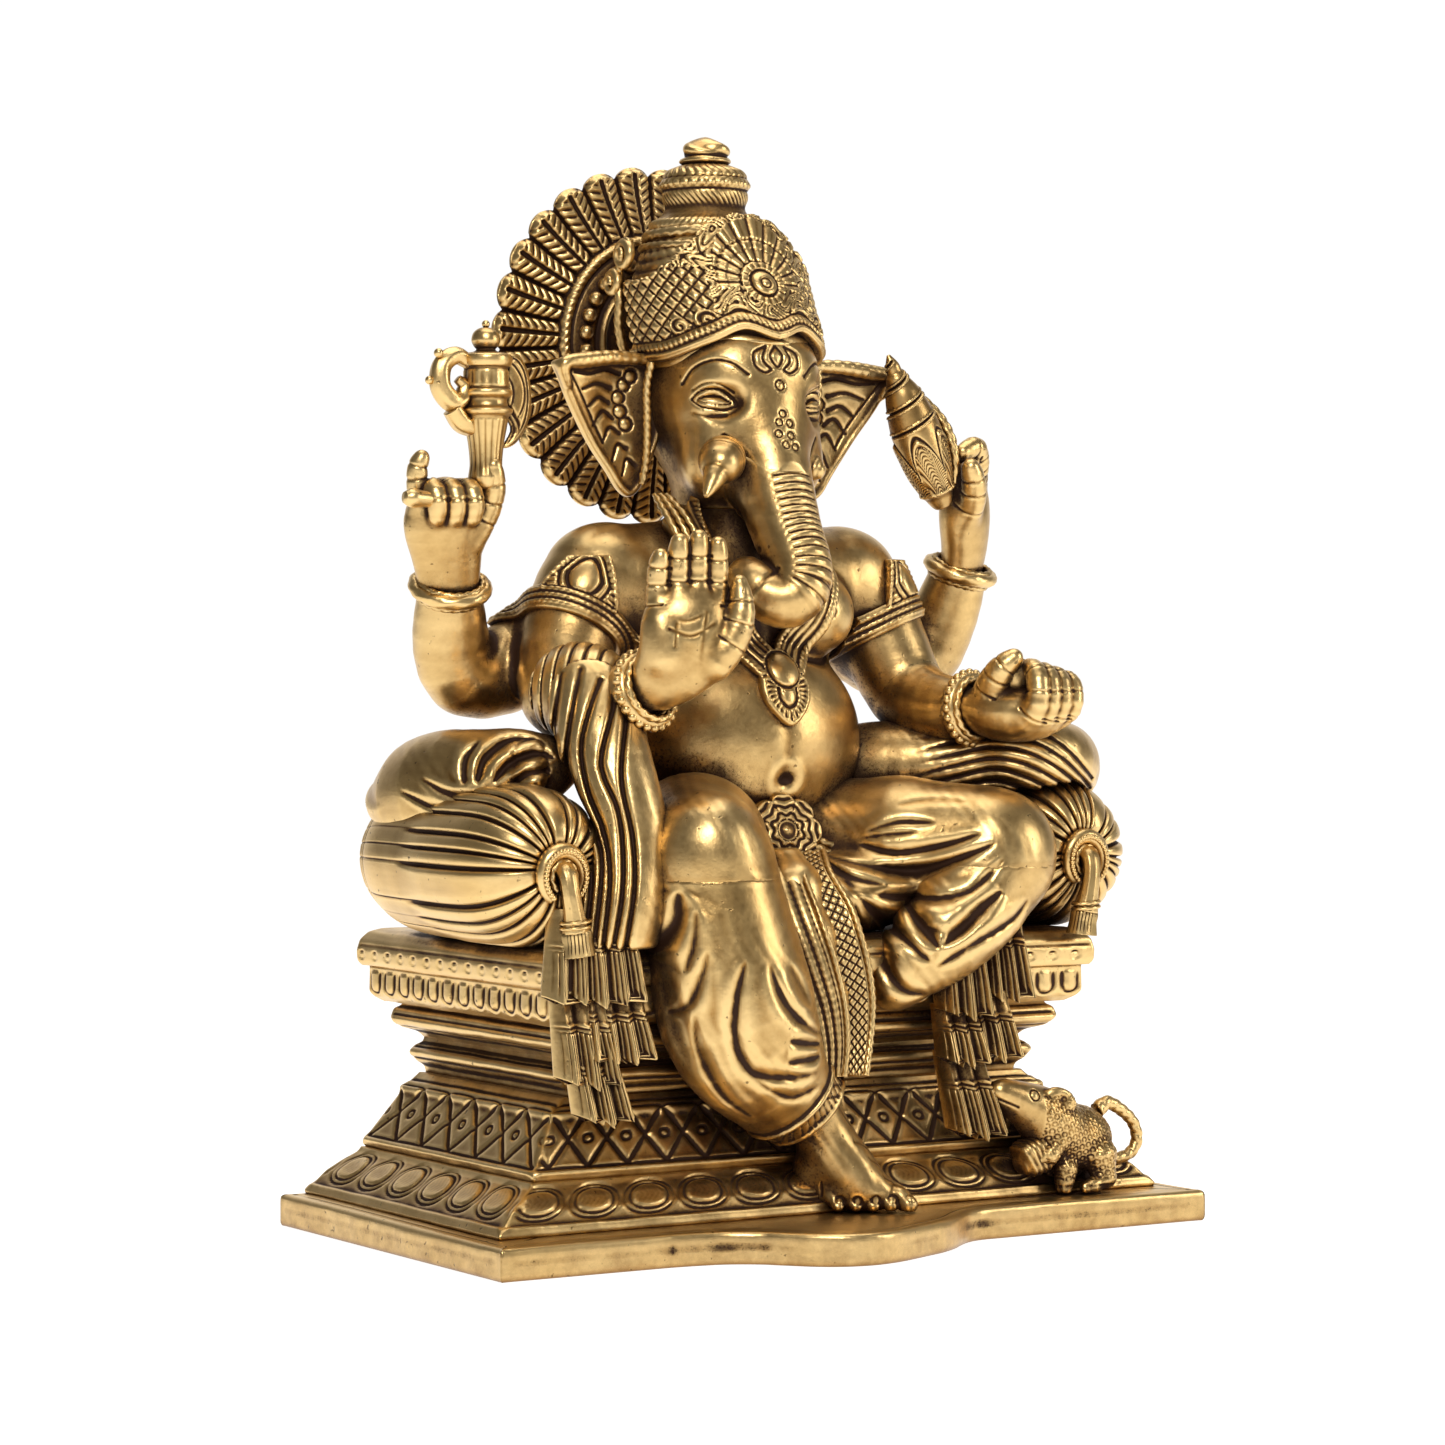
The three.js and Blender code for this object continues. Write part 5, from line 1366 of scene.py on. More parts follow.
def make_jewels():
    # Necklace: ridged band with rope edges meeting at a domed stone, and a leaf pendant.
    g = Grid((-26, -34, 138), (26, 8, 206), 0.38)
    p = g.p
    base = body(p)
    path = smooth_path([(-19.5, 203), (-19.8, 195), (-18, 183), (-12.8, 169), (-6, 159.5), (0.3, 153.2),
        (6, 159.5), (12.8, 169), (18, 183), (19.8, 195), (19.5, 203)], 40)
    xz = np.meshgrid(g.x[:, 0, 0], g.z[0, 0, :], indexing="ij")
    r2, run2 = track(xz, path)
    r, run = r2[:, None, :], run2[:, None, :]
    inside = np.where((np.abs(g.x) < np.interp(g.z, path[20:, 1], path[20:, 0])), -1.0, 1.0)
    lat = r * inside
    leaf = poly(g.x[:, 0, 0][:, None], g.z[0, 0, :][None], [tuple(q) for q in smooth_path(
        [(-7.2, 153), (-7.4, 147.5), (-4.6, 142.6), (0.2, 139.2), (5.0, 142.6), (7.8, 147.5), (7.6, 153),
        (0.2, 155), (-7.2, 153)], 30)[:-1]])[:, None, :]
    shape = np.minimum(r - 5.0, leaf)
    d = smax(np.abs(base - 0.5) - 1.2, np.maximum(shape, g.y - 2), 0.5)
    d = g.full(d)
    i, q = g.near(d, 2.4)
    L, rn, lf = (np.broadcast_to(w, g.n)[i] for w in (lat, run, leaf))
    h = 0.55 * bell(L + 1.2, 0.7) + 0.55 * bell(L - 0.8, 0.7) + 0.5 * bell(L + 3.0, 0.6)
    h = h + 0.8 * np.sqrt(np.clip(1 - ((L - 3.6) / 1.35) ** 2, 0, 1)) * (0.6 + 0.4
        * np.abs(np.sin(rn * 2.0 + L)))
    h = h + 0.6 * np.sqrt(np.clip(1 - ((L + 4.5) / 0.9) ** 2, 0, 1)) * (0.6 + 0.4 * np.abs(np.sin(rn * 2.3)))
    a = np.arctan2(q[0] - 0.2, q[2] - 149.5)
    el = np.hypot(q[0] - 0.2, (q[2] - 148.6) * 0.72)
    hl = 0.7 * bell(lf + 0.9, 0.6) + 0.45 * np.abs(np.sin(a * 13)) * ((el > 3.4) & (lf < -1.4)) + 1.0 * np.sqrt(
        np.clip(1 - (el / 2.6) ** 2, 0, 1)) - 0.5 * bell(el - 3.0, 0.35)
    h = np.where(lf < 0, hl, h)
    gem = np.hypot(q[0] - 0.2, q[2] - 154.8)
    h = np.where(gem < 5.6, 0.9 + 1.5 * np.sqrt(np.clip(1 - (gem / 4.7) ** 2, 0, 1)) - 0.7
        * bell(gem - 5.0, 0.35), h)
    d[i] -= np.where(np.broadcast_to(base, g.n)[i] > 0.1, h * 0.9, 0)
    b = Bag().field(d, g)
    # Three strands from behind the right ear down over the shoulder.
    for k in range(3):
        w = smooth_path([(-27 + 1.2 * k, 2 - k, 203), (-27.5 + 2.4 * k, -6 - k, 196),
            (-25 + 2.6 * k, -10.5 - 0.5 * k, 188), (-21 + 2.6 * k, -12.4 - 0.6 * k, 179)], 90)
        b.tube(w, 1.15, 9, 0.34, 3, 0.4)
    piece("necklace", b)

    # Belt clasp: lobed plaque with a ringed boss, and the cord round the belly.
    b = Bag()
    c0, n0 = np.array([-1.0, -23.2, 110.0]), np.array([-0.12, -0.95, 0.28])
    n0 /= np.linalg.norm(n0)
    e1 = np.cross(n0, (0, 0, 1.0))
    e1 /= np.linalg.norm(e1)
    e2 = np.cross(e1, n0)
    a = turn(160)
    rows = []
    rim = 9.6 + 1.5 * np.abs(np.cos(4 * a)) ** 0.6
    for f in np.concatenate([[0.0], np.linspace(0.01, 1, 40)]):
        r = rim * f
        hgt = 2.3 - 1.3 * f ** 4 + 0.6 * bell(r - 3.1,
            0.6) + 0.8 * np.abs(np.sin(1.35 * (r + 0.55 * np.cos(8 * a)))) * (
            (r > 3.2) & (f < 0.93)) - 0.5 * bell(r - 3.2, 0.3) + 0.8 * bell(r, 1.3) + 0.5 * bell(f - 0.93, 0.05)
        hgt = hgt - 0.3 * bell(np.abs(np.cos(4 * a)), 0.2) * (f > 0.6)
        rows.append(c0 + r[:, None] * (np.cos(a)[:, None] * e1 + np.sin(a)[:, None] * e2) + np.broadcast_to(hgt,
            a.shape)[:, None] * n0)
    for f, dd in ((1.02, -0.8), (0.96, -2.6), (0.5, -3.4), (0.02, -3.6)):
        rows.append(c0 + (rim * f)[:, None] * (np.cos(a)[:, None] * e1 + np.sin(a)[:, None] * e2) + dd * n0)
    b.sheet(np.array(rows))
    for run in ([(7, -24.5, 106), (16.5, -25.5, 102.8), (27.5, -22.5, 105.6), (36.0, -17.0, 112.0),
        (39.6, -10.5, 120.5), (39.4, -3, 128)],
                [(-8, -23.5, 106), (-16.5, -24.5, 104), (-26, -22.0, 108), (-33.5, -16.5, 114),
                (-37.4, -8.5, 122), (-37.6, 0, 128)]):
        w = smooth_path(run, 150)
        b.tube(w, 1.9, 12, 0.26, 4, 0.4)
        b.tube(w + [0, 0.6, 2.9], 1.15, 10, 0.36, 3, 0.4)
    piece("belt_clasp", b)
# ------------------------------------------------------------------ cloth and legs
THIGH_R = [(-18, 2, 104, 20), (-31, -25, 107, 19.3), (-41, -45, 106, 17.2)]
SHIN_R = [(-41, -47, 101, 17.4), (-39, -48, 90, 19.2), (-35.5, -50, 72, 20.6), (-31, -51, 57, 19.6),
    (-23, -50, 47, 15.5), (-15, -48, 41, 12), (-9, -47, 38.5, 10.6)]
THIGH_L = [(18, 2, 104, 20), (37, -24, 106, 18.5), (53, -42, 106, 16.6)]
SHIN_L = [(54, -44, 99, 15), (45, -46, 89, 13.5), (35, -46, 81, 12.5), (26, -44.5, 74, 9.6),
    (21, -43.5, 68, 6.5)]


def turned_plane(q):
    """Side and depth of points seen from 32 degrees to the idol's right of straight ahead."""
    return 0.849 * q[0] - 0.528 * q[1], 0.528 * q[0] + 0.849 * q[1]


def folds(q, lines, d0):
    """Pressed folds along lines of the turned plane, on the side nearer than depth d0."""
    a, depth = turned_plane(q)
    cut = 0 * a
    for pts, w, dep in lines:
        path = smooth_path(pts, 6 * len(pts))
        r, run = track((a, q[2]), path)
        total = np.linalg.norm(np.diff(path, axis=0), axis=1).sum()
        end = np.clip(np.sin(np.pi * np.clip(run / total, 0, 1)), 0, 1) ** 0.6
        wide = w * (0.3 + 0.75 * end)
        cut = cut + end * dep * (bell(r, wide) - 0.42 * bell(r - 2.6 * wide, 1.6 * wide))
    return cut * fade(depth, d0 + 4, d0 - 4)


def carved(name, g, d, carve, slot="brass", add=None, band=3.0, move=(0, 0, 0), calm=None):
    d = g.full(d)
    if carve is not None:
        i, q = g.near(d, band)
        d[i] += carve(q)
    b = Bag().field(d, g)
    if add is not None:
        add(b)
    for v in b.v:
        v += np.array(move, f32)
    return piece(name, b, slot=slot, calm=calm)


SHIN_FOLDS = [
    ([(0.5, 79.2), (-1.7, 69.8), (-2.3, 60.3), (-0.3, 53.2), (4.1, 49.0), (12.1, 48.1), (19.8, 48.4)], 1.5,
    2.4),
    ([(6.8, 78.0), (9.8, 69.8), (13.9, 63.8), (21.0, 57.9)], 1.2, 1.8),
    ([(12.1, 78.0), (14.5, 72.1), (17.5, 66.2)], 1.2, 1.2), ([(12.0, 57.9), (20.4, 55.8)], 1.4, 2.0),
    ([(11.5, 51.9), (20.4, 52.8)], 1.4, 2.0),
    ([(2.7, 47.8), (12.1, 42.6), (20.4, 45.0)], 1.0, 1.1),
    ([(-8.0, 80.0), (-7.4, 65.0), (-3.9, 50.8), (3.8, 41.3)], 1.5, 0.6),
    ([(-12.8, 65.0), (-11.6, 55.5), (-5.6, 43.7), (2.7, 36.6)], 1.4, 1.4),
    ([(-21.6, 55.5), (-16.3, 44.9), (-8.0, 37.7), (0.3, 33.0)], 1.6, 1.6),
    ([(-12.2, 92.3), (-12.8, 84.0), (-15.1, 75.7)], 1.4, 1.4),
    ([(-9.2, 81.6), (-11.0, 74.5), (-14.5, 67.4), (-19.9, 65.0)], 1.4, 1.4),
    ([(-17.0, 97), (-17.7, 88.3), (-24.6, 80.4)], 2.2, 3.0), ([(-21, 76), (-19, 64), (-14, 50)], 2.0, 1.0)]
THIGH_FOLDS = [
    ([(33.9, 110.0), (42.5, 112.6), (52.8, 112.8)], 0.9, 1.0),
    ([(32.2, 106.6), (42.5, 104.4), (55.1, 106.6), (65.3, 110.0)], 1.0, 1.5),
    ([(23.1, 103.5), (32.2, 101.2), (39.1, 99.8), (50.5, 100.1), (61.9, 104.1), (69.3, 107.4)], 1.2, 2.0),
    ([(21.9, 102.6), (28.8, 98.0), (39.1, 95.9)], 1.6, 2.6),
    ([(33.4, 108.4), (39.1, 109.4), (48.2, 110.2)], 0.8, 0.8), ([(42.5, 117.4), (52.8, 118.8), (61.9, 118.4)],
    0.8, 0.4)]
CALF_FOLDS = [
    ([(26.4, 97.6), (36.1, 93.6), (48.5, 91.9), (61.9, 94.3), (71.6, 103.1)], 1.2, 1.6),
    ([(44.8, 91.0), (48.0, 86.0), (53.5, 79.0)], 1.7, 2.6),
    ([(71.0, 94.3), (65.3, 89.8), (59.6, 84.1), (54.1, 79.9)], 1.7, 2.8), ([(50, 84.5), (57, 83.5), (63, 87)],
    1.6, 1.2), ([(27.7, 97.4), (36.8, 87.7), (44.8, 80.9), (51.1, 75.2)], 1.3, 1.8),
    ([(52.8, 74.0), (61.9, 79.7), (73.3, 86.0), (78.5, 91.7)], 1.2, 1.6),
    ([(35.6, 86.6), (37.7, 76.3), (43.1, 68.3), (50.5, 66.0)], 1.4, 1.6), ([(30.5, 92), (31.5, 80), (35, 70)],
    1.2, 1.4)]


def brushed(q, seed, depth=0.04):
    """Faint file marks left in the casting."""
    a, _ = turned_plane(q)
    return depth * np.sin(1.7 * a + 1.7 * np.sin(0.31 * q[2] + seed) + 0.9 * q[2]) * np.clip(np.sin(0.17 * a
        + 0.23 * q[2] + seed), 0, 1)


def under(cut):
    """How far the thigh sinks where it runs on below the shin's edge, so no gap shows."""
    return 0.04 * fade(-cut, -0.3, 0.0) + 0.56 * fade(-cut, 0.35, 1.1)


def make_legs():
    # The right leg hangs; its cloth is a long balloon gathered into a hatched hem.
    for name, lo, hi, side in (("right_thigh", (-62, -66, 82), (4, 24, 128), 1),
        ("right_shin", (-62, -76, 24), (8, -26, 114), -1)):
        g = Grid(lo, hi, 0.5)
        p = g.p
        thigh, shin = chain(p, THIGH_R, 3), chain(p, smooth_path(SHIN_R, 15), 2)
        d = smin(thigh, shin, 7)
        d = smin(d, ell(p, (-43, -53, 108), (12, 11, 13)), 5)
        mouth = half(p, (-6.5, -46.5, 38.5), (0.72, 0.05, -0.69))
        cut = np.maximum(p[2] - 100, shin - 3.5)
        d = np.maximum(d + under(cut), -cut - 1.6) if side > 0 else np.maximum(d, cut)
        d = smax(d, mouth, 2.5)

        def carve(q, side=side):
            cut = 0.5 * folds(q, SHIN_FOLDS, -52) + brushed(q, 1.0)
            # Hem band: raised, two cords and cross hatching.
            along = half(q, (-6.5, -46.5, 38.5), (0.72, 0.05, -0.69))
            a, dep = turned_plane(q)
            low = (q[2] < 52) & (along > -11)
            hatch = np.minimum(np.abs(np.sin((a + q[2]) * 1.0 + 0.6 * dep)),
                np.abs(np.sin((a - q[2]) * 0.9 - 0.5 * dep)))
            band = fade(along, -9.2, -8.4)
            cut = cut * (1 - band * low)
            return cut - np.where(low, 0.8 * band + 0.6 * bell(along + 7.9, 0.5) + 0.6 * bell(along + 1.5, 0.6)
                - 0.5 * (1 - fade(hatch, 0.1, 0.45)) * fade(along, -7.2, -6.8) * fade(along, -2.2, -2.6), 0)

        carved(name, g, d, carve,
            calm=lambda q: fade(np.abs(np.maximum(q[2] - 100, chain(q, smooth_path(SHIN_R, 15), 2) - 3.5)), 0.5,
                1.8))
    # The left leg is folded flat; the cloth gathers under the knee.
    for name, lo, hi, side in (("left_thigh", (-4, -64, 82), (76, 24, 128), 1),
        ("left_shin", (10, -66, 58), (76, -26, 116), -1)):
        g = Grid(lo, hi, 0.5)
        p = g.p
        thigh, shin = chain(p, THIGH_L, 3), chain(p, smooth_path(SHIN_L, 11), 2)
        d = smin(thigh, shin, 6)
        d = smin(d, ell(p, (59, -47, 104), (12, 11, 14.5)), 5)
        cut = np.maximum(shin - thigh + 1.0, p[2] - 101)
        d = np.maximum(d + under(cut), -cut - 1.6) if side > 0 else np.maximum(d, cut)
        if side > 0:
            d = smin(d, ell(p, (17, -20, 93), (24, 24, 12)), 5)
        carved(name, g, d, lambda q: 0.64 * folds(q, THIGH_FOLDS + CALF_FOLDS, -12) + brushed(q, 2.0),
               calm=lambda q: fade(np.abs(np.maximum(chain(q, smooth_path(SHIN_L, 11), 2)
                   - chain(q, THIGH_L, 3) + 1.0, q[2] - 101)), 0.5, 1.8))

    # Bare right foot on the front lobe of the plate.
    g = Grid((-18, -70, 8.6), (26, -32, 50), 0.33)
    p = g.p
    d = chain(p, smooth_path([(-8, -46, 38, 7.6), (-4.0, -46, 31, 7.3), (-0.5, -47, 24, 7.9),
        (3, -50, 18.4, 7.6), (5.5, -53, 14.6, 6.0)], 13), 1.5)
    d = smin(d, ell(p, (-3.5, -43, 17.5), (7, 6.5, 8)), 4)
    for a0, a1, r0, r1 in (((1, -48, 16), (-2.2, -49.5, 12.6), 6, 3.6), ((2.5, -49, 16), (2.2, -52, 12.8), 6,
        4.0), ((4, -50, 16), (6.5, -54.5, 12.8), 6, 4.2), ((5, -50.5, 16.5), (11.6, -56.6, 12.9), 6, 4.2)):
        d = smin(d, cone(p, a0, a1, r0, r1, ((0.1, 0.3, 1), 0.8)), 3)
    toes = []
    for k in range(5):
        tip = np.array([-3.4 + 4.25 * k, -53.8 - 2.1 * k, 11.0])
        r = (1.75, 1.85, 1.95, 2.05, 2.7)[k]
        way = np.array([0.16 + 0.05 * k, -0.98, 0])
        b0 = tip - way * (5.6 + 0.35 * k) + [0, 0, 1.7]
        mid = tip - way * 2.9 + [0, 0, 2.0]
        toes.append((b0, mid, tip, r))
        e = chain(p, [(*b0, r + 0.3), (*mid, r), (*tip, r * 0.98)], 0.8)
        d = smin(d, e, 0.8)
    d = smax(d, 9.3 - g.z, 0.4)
    d = smax(d, half(p, (-7, -46, 37), (-0.6, 0, 0.8)), 0.5)

    def toe_marks(q):
        cut = brushed(q, 4.0, 0.05)
        for b0, mid, tip, r in toes:
            c = tip + np.array([0.05, -0.55, 0.8]) * r * 0.9
            e = np.sqrt(sum((q[k] - c[k]) ** 2 for k in range(3)))
            cut = cut + 0.3 * bell(e - 1.25, 0.3)
            c = 0.5 * (b0 + mid)
            cut = cut + 0.25 * bell((q[0] - c[0]) * 0.2 - (q[1] - c[1]) * 0.97,
                0.4) * (np.hypot(q[0] - c[0], q[1] - c[1]) < r + 0.8) * (q[2] > 13)
        return cut

    carved("right_foot", g, d, toe_marks)


def ribbon(b, path, across, width, thick, relief, n=150, m=60, round_edge=0.25):
    """A closed strap along path; relief(u, s) is the height of its outer face, u from -1 to 1, s the run in mm."""
    P = smooth_path(path, n)
    W = smooth_path(across, n)
    w = np.interp(np.linspace(0, 1, n), np.linspace(0, 1, len(width)), width)
    T = np.gradient(P, axis=0)
    T /= np.linalg.norm(T, axis=1)[:, None]
    A = W - T * np.sum(W * T, 1)[:, None]
    A /= np.linalg.norm(A, axis=1)[:, None]
    N = np.cross(T, A)
    N *= np.where(N[:, 1:2] > 0, -1, 1)
    s = lengths(P)
    u = np.linspace(-1, 1, m)
    edge = np.clip((1 - np.abs(u)) / round_edge, 0, 1) ** 0.5
    front = P[:, None] + A[:, None] * (u[None, :, None] * w[:, None, None]) + N[:,
        None] * (relief(u[None], s[:, None]) * edge + (thick * 0.5) * (edge - 1) * 0.6)[..., None]
    back = P[:, None] + A[:, None] * (u[None, ::-1, None] * w[:, None, None] * 0.97) - N[:,
        None] * np.broadcast_to(thick * (0.25 + 0.75 * edge[::-1]), (n, m))[..., None]
    b.sheet(np.concatenate([front, back], 1))
    return P, A, N, w, s


def make_cloth():
    # Sash between the legs: a hatched panel with roped edges over a plain pleat.
    b = Bag()

    def hatch(u, s):
        x = u * 6.2
        h = np.minimum(np.abs(np.sin((x + s) * 1.15)), np.abs(np.sin((x - s) * 1.15)))
        return 0.9 + 0.55 * fade(h, 0.08, 0.5) * (np.abs(u) < 0.72) + 0.5 * bell(np.abs(u) - 0.8, 0.06)

    path = [(3, -27.5, 104), (-2.5, -38.5, 98), (-1.5, -46.5, 88), (0.5, -50.5, 76), (1.8, -52.5, 66),
        (1.5, -54, 56), (-0.5, -56.5, 46)]
    P, A, N, w, s = ribbon(b, path, [(0.9, -0.4, 0.1)] * 7, [5.2, 6.0, 6.8, 6.6, 5.8, 4.6, 3.6], 2.4, hatch,
        190, 64)
    for e in (-1, 1):
        b.tube(P + A * (e * w * 0.96)[:, None] + N * 0.8, 1.05, 10, 0.42, 3, 0.42)

    def plain(u, s):
        return 0.8 + 0.5 * np.abs(np.cos(2.2 * np.pi * u)) + 0.04 * np.sin(3 * s)

    path2 = [(-6, -27, 103), (-12, -38, 99), (-13, -47, 88), (-10.5, -51.5, 76), (-7.5, -53.5, 65),
        (-6.5, -55, 55), (-7, -56, 46)]
    P, A, N, w, s = ribbon(b, path2, [(0.9, -0.4, 0.1)] * 7, [5.5, 6.4, 6.8, 6.4, 5.4, 4.4, 3.4], 3.0, plain,
        150, 48)
    b.tube(P + A * (w * 0.98)[:, None] + N * 0.7, 0.95, 10, 0.42, 3, 0.42)
    g = Grid((-20, -56, 42), (10, -22, 106), 0.6)
    d = chain(g.p, [(-4, -26, 103, 6), (-6, -36, 95, 7.5), (-6, -43, 82, 7.5), (-4, -47, 66, 7),
        (-4, -50, 52, 6)], 3)
    b.field(d, g)
    piece("centre_sash", b)

    # Shawl over the right forearm, falling in long rounded pleats.
    g = Grid((-84, -60, 80), (-42, -2, 168), 0.45)
    p = g.p
    d = chain(p, smooth_path([(-60.5, -13, 149, 13.2), (-61.5, -22, 147, 12.2), (-64, -32, 136, 10.5),
        (-63.5, -40, 122, 9.6), (-62.5, -43.5, 108, 9.8), (-66.5, -44.5, 96, 11.6), (-69.5, -44.5, 86, 12.4)],
        15), 3, ((0.4, 0.9, 0.1), 0.8))
    d = smax(d, 82.6 - g.z, 1.0)
    lines = [
        [(-37.7, 152.0), (-40.7, 143.6), (-42.5, 134.1), (-40.7, 123.4), (-36.5, 112.6), (-34.7, 100.7),
        (-36.5, 82.0)],
        [(-43.1, 154.8), (-45.5, 141.3), (-46.6, 130.5), (-44.3, 122.2), (-38.9, 112.6), (-36.8, 103.1),
        (-38.9, 82.2)],
        [(-33.5, 158), (-34.1, 145.9), (-37.1, 133), (-36.5, 126.9), (-32.9, 118.6), (-31.4, 107.9),
        (-31.6, 95.9), (-33.9, 82.0)],
        [(-48.2, 154), (-50.0, 140), (-50.0, 128.1), (-46.6, 121.0), (-41.6, 111.4), (-39.5, 100.7),
        (-41.4, 82.2)],
        [(-52.2, 150), (-53.4, 136.5), (-52.9, 126.9), (-49.4, 120.0), (-44.5, 110.8), (-42.6, 100.7),
        (-44.1, 82.4)],
        [(-29.5, 156), (-31.1, 140), (-31.9, 126.0), (-29.0, 111.4), (-28.4, 98.3), (-30.7, 82.2)],
        [(-55.8, 146), (-56.4, 134), (-55.6, 124), (-52, 116), (-47.6, 108), (-46.2, 98), (-47.2, 82.4)],
        [(-59, 140), (-58.8, 128), (-55.5, 116), (-51.6, 106), (-50, 96), (-50.6, 82.6)]]

    def pleats(q):
        a, depth = turned_plane(q)
        r = None
        for pts in lines:
            e, _ = track((a, q[2]), smooth_path(pts, 5 * len(pts)))
            r = e if r is None else np.minimum(r, e)
        cut = 1.5 * bell(r, 0.6) * fade(q[2], 158, 136) - 0.5 * fade(r, 0, 1.8)
        back = 0.9 * bell(np.abs(np.sin(0.55 * (q[0] - q[1]))), 0.3)
        return np.where(depth < -58, cut, back) + brushed(q, 3.0)

    carved("right_shawl", g, d, pleats)

    # Fringed ends, each tier a pleated curtain with a doubled band and strands.
    def curtain(b, z1, z0, xa, xb, ya, yb, pleats, thick, lean=0.0, skew=0.0):
        m, n = 150, 64
        u = np.linspace(0, 1, m)
        v = np.linspace(0, 1, n)[:, None]
        z = z1 + (z0 - z1) * v
        saw = 2 * np.abs(((u * pleats) % 1.0) - 0.5)
        y = ya + (yb - ya) * u[None] - (1.2 + 3.2 * v) * (1 - saw[None]) ** 0.7 - lean * v
        x = xa + (xb - xa) * ((u[None] - 0.5) * (0.84 + 0.22 * v) + 0.5) + skew * v
        zz = z + (2.6 * saw[None] + 0.8 * np.sin(9 * u[None]) - 1.3) * v ** 2
        mm = (z1 - z) + 0 * u[None]
        H = z1 - z0
        strand = np.abs(np.sin(np.pi * u[None] * abs(xb - xa) * 1.05 + 0.25 * np.sin(7 * v)))
        top = H * 0.46
        h = 0.8 * np.sqrt(strand) * fade(mm, top, top + 0.5)
        for k in (0.0, 1.3):
            h = h + 0.75 * bell(mm - top + 0.4 + k, 0.42)
        h = h + 0.35 * np.abs(np.sin(2 * np.pi * u[None] * pleats)) * (mm < top - 2)
        side = np.sqrt(np.clip(np.minimum(u, 1 - u) / 0.13, 0, 1))[None]
        front = np.stack([x, y - h * side + (1 - side) * thick * 0.45, zz], -1)
        back = np.stack([x, y + thick - (1 - side) * thick * 0.45, zz], -1)[:, ::-1]
        rows = np.concatenate([front, back], 1)
        c0, c1 = rows[0].mean(0), rows[-1].mean(0)
        lid = [c0 + (rows[0] - c0) * f - [0, 0, 0] for f in (0.15, 0.8)]
        base = [c1 + (rows[-1] - c1) * f for f in (0.8, 0.15)]
        b.sheet(np.concatenate([np.array(lid), rows, np.array(base)]))

    b = Bag()
    curtain(b, 93, 69.0, -89, -62.5, -45.5, -50.5, 5, 5, 1.8)
    curtain(b, 72, 54, -81, -61.5, -47, -51.5, 4, 5, 3.0, 0.5)
    curtain(b, 72, 48, -87.5, -72, -45, -49.5, 3, 5, 4.0, 1.0)
    curtain(b, 60, 38.5, -84.5, -70.5, -46.5, -50.5, 3, 5, 5.5, 1.6)
    piece("right_fringe", b)
    b = Bag()
    curtain(b, 88, 60.5, 33.5, 47, -45.5, -50, 3, 5, 2.6, 0.5)
    curtain(b, 90, 64.5, 45, 62.5, -42.5, -48, 4, 5, 2.4, 0.8)
    curtain(b, 63, 47.5, 33, 45.5, -46, -50, 3, 5, 3.4, 0.5)
    curtain(b, 66, 48.5, 43.5, 57, -44.5, -49, 3, 5, 3.8, 0.5)
    curtain(b, 50, 27.5, 34.5, 49, -44.5, -49, 3, 5, 5.0, 2.4)
    piece("left_fringe", b)


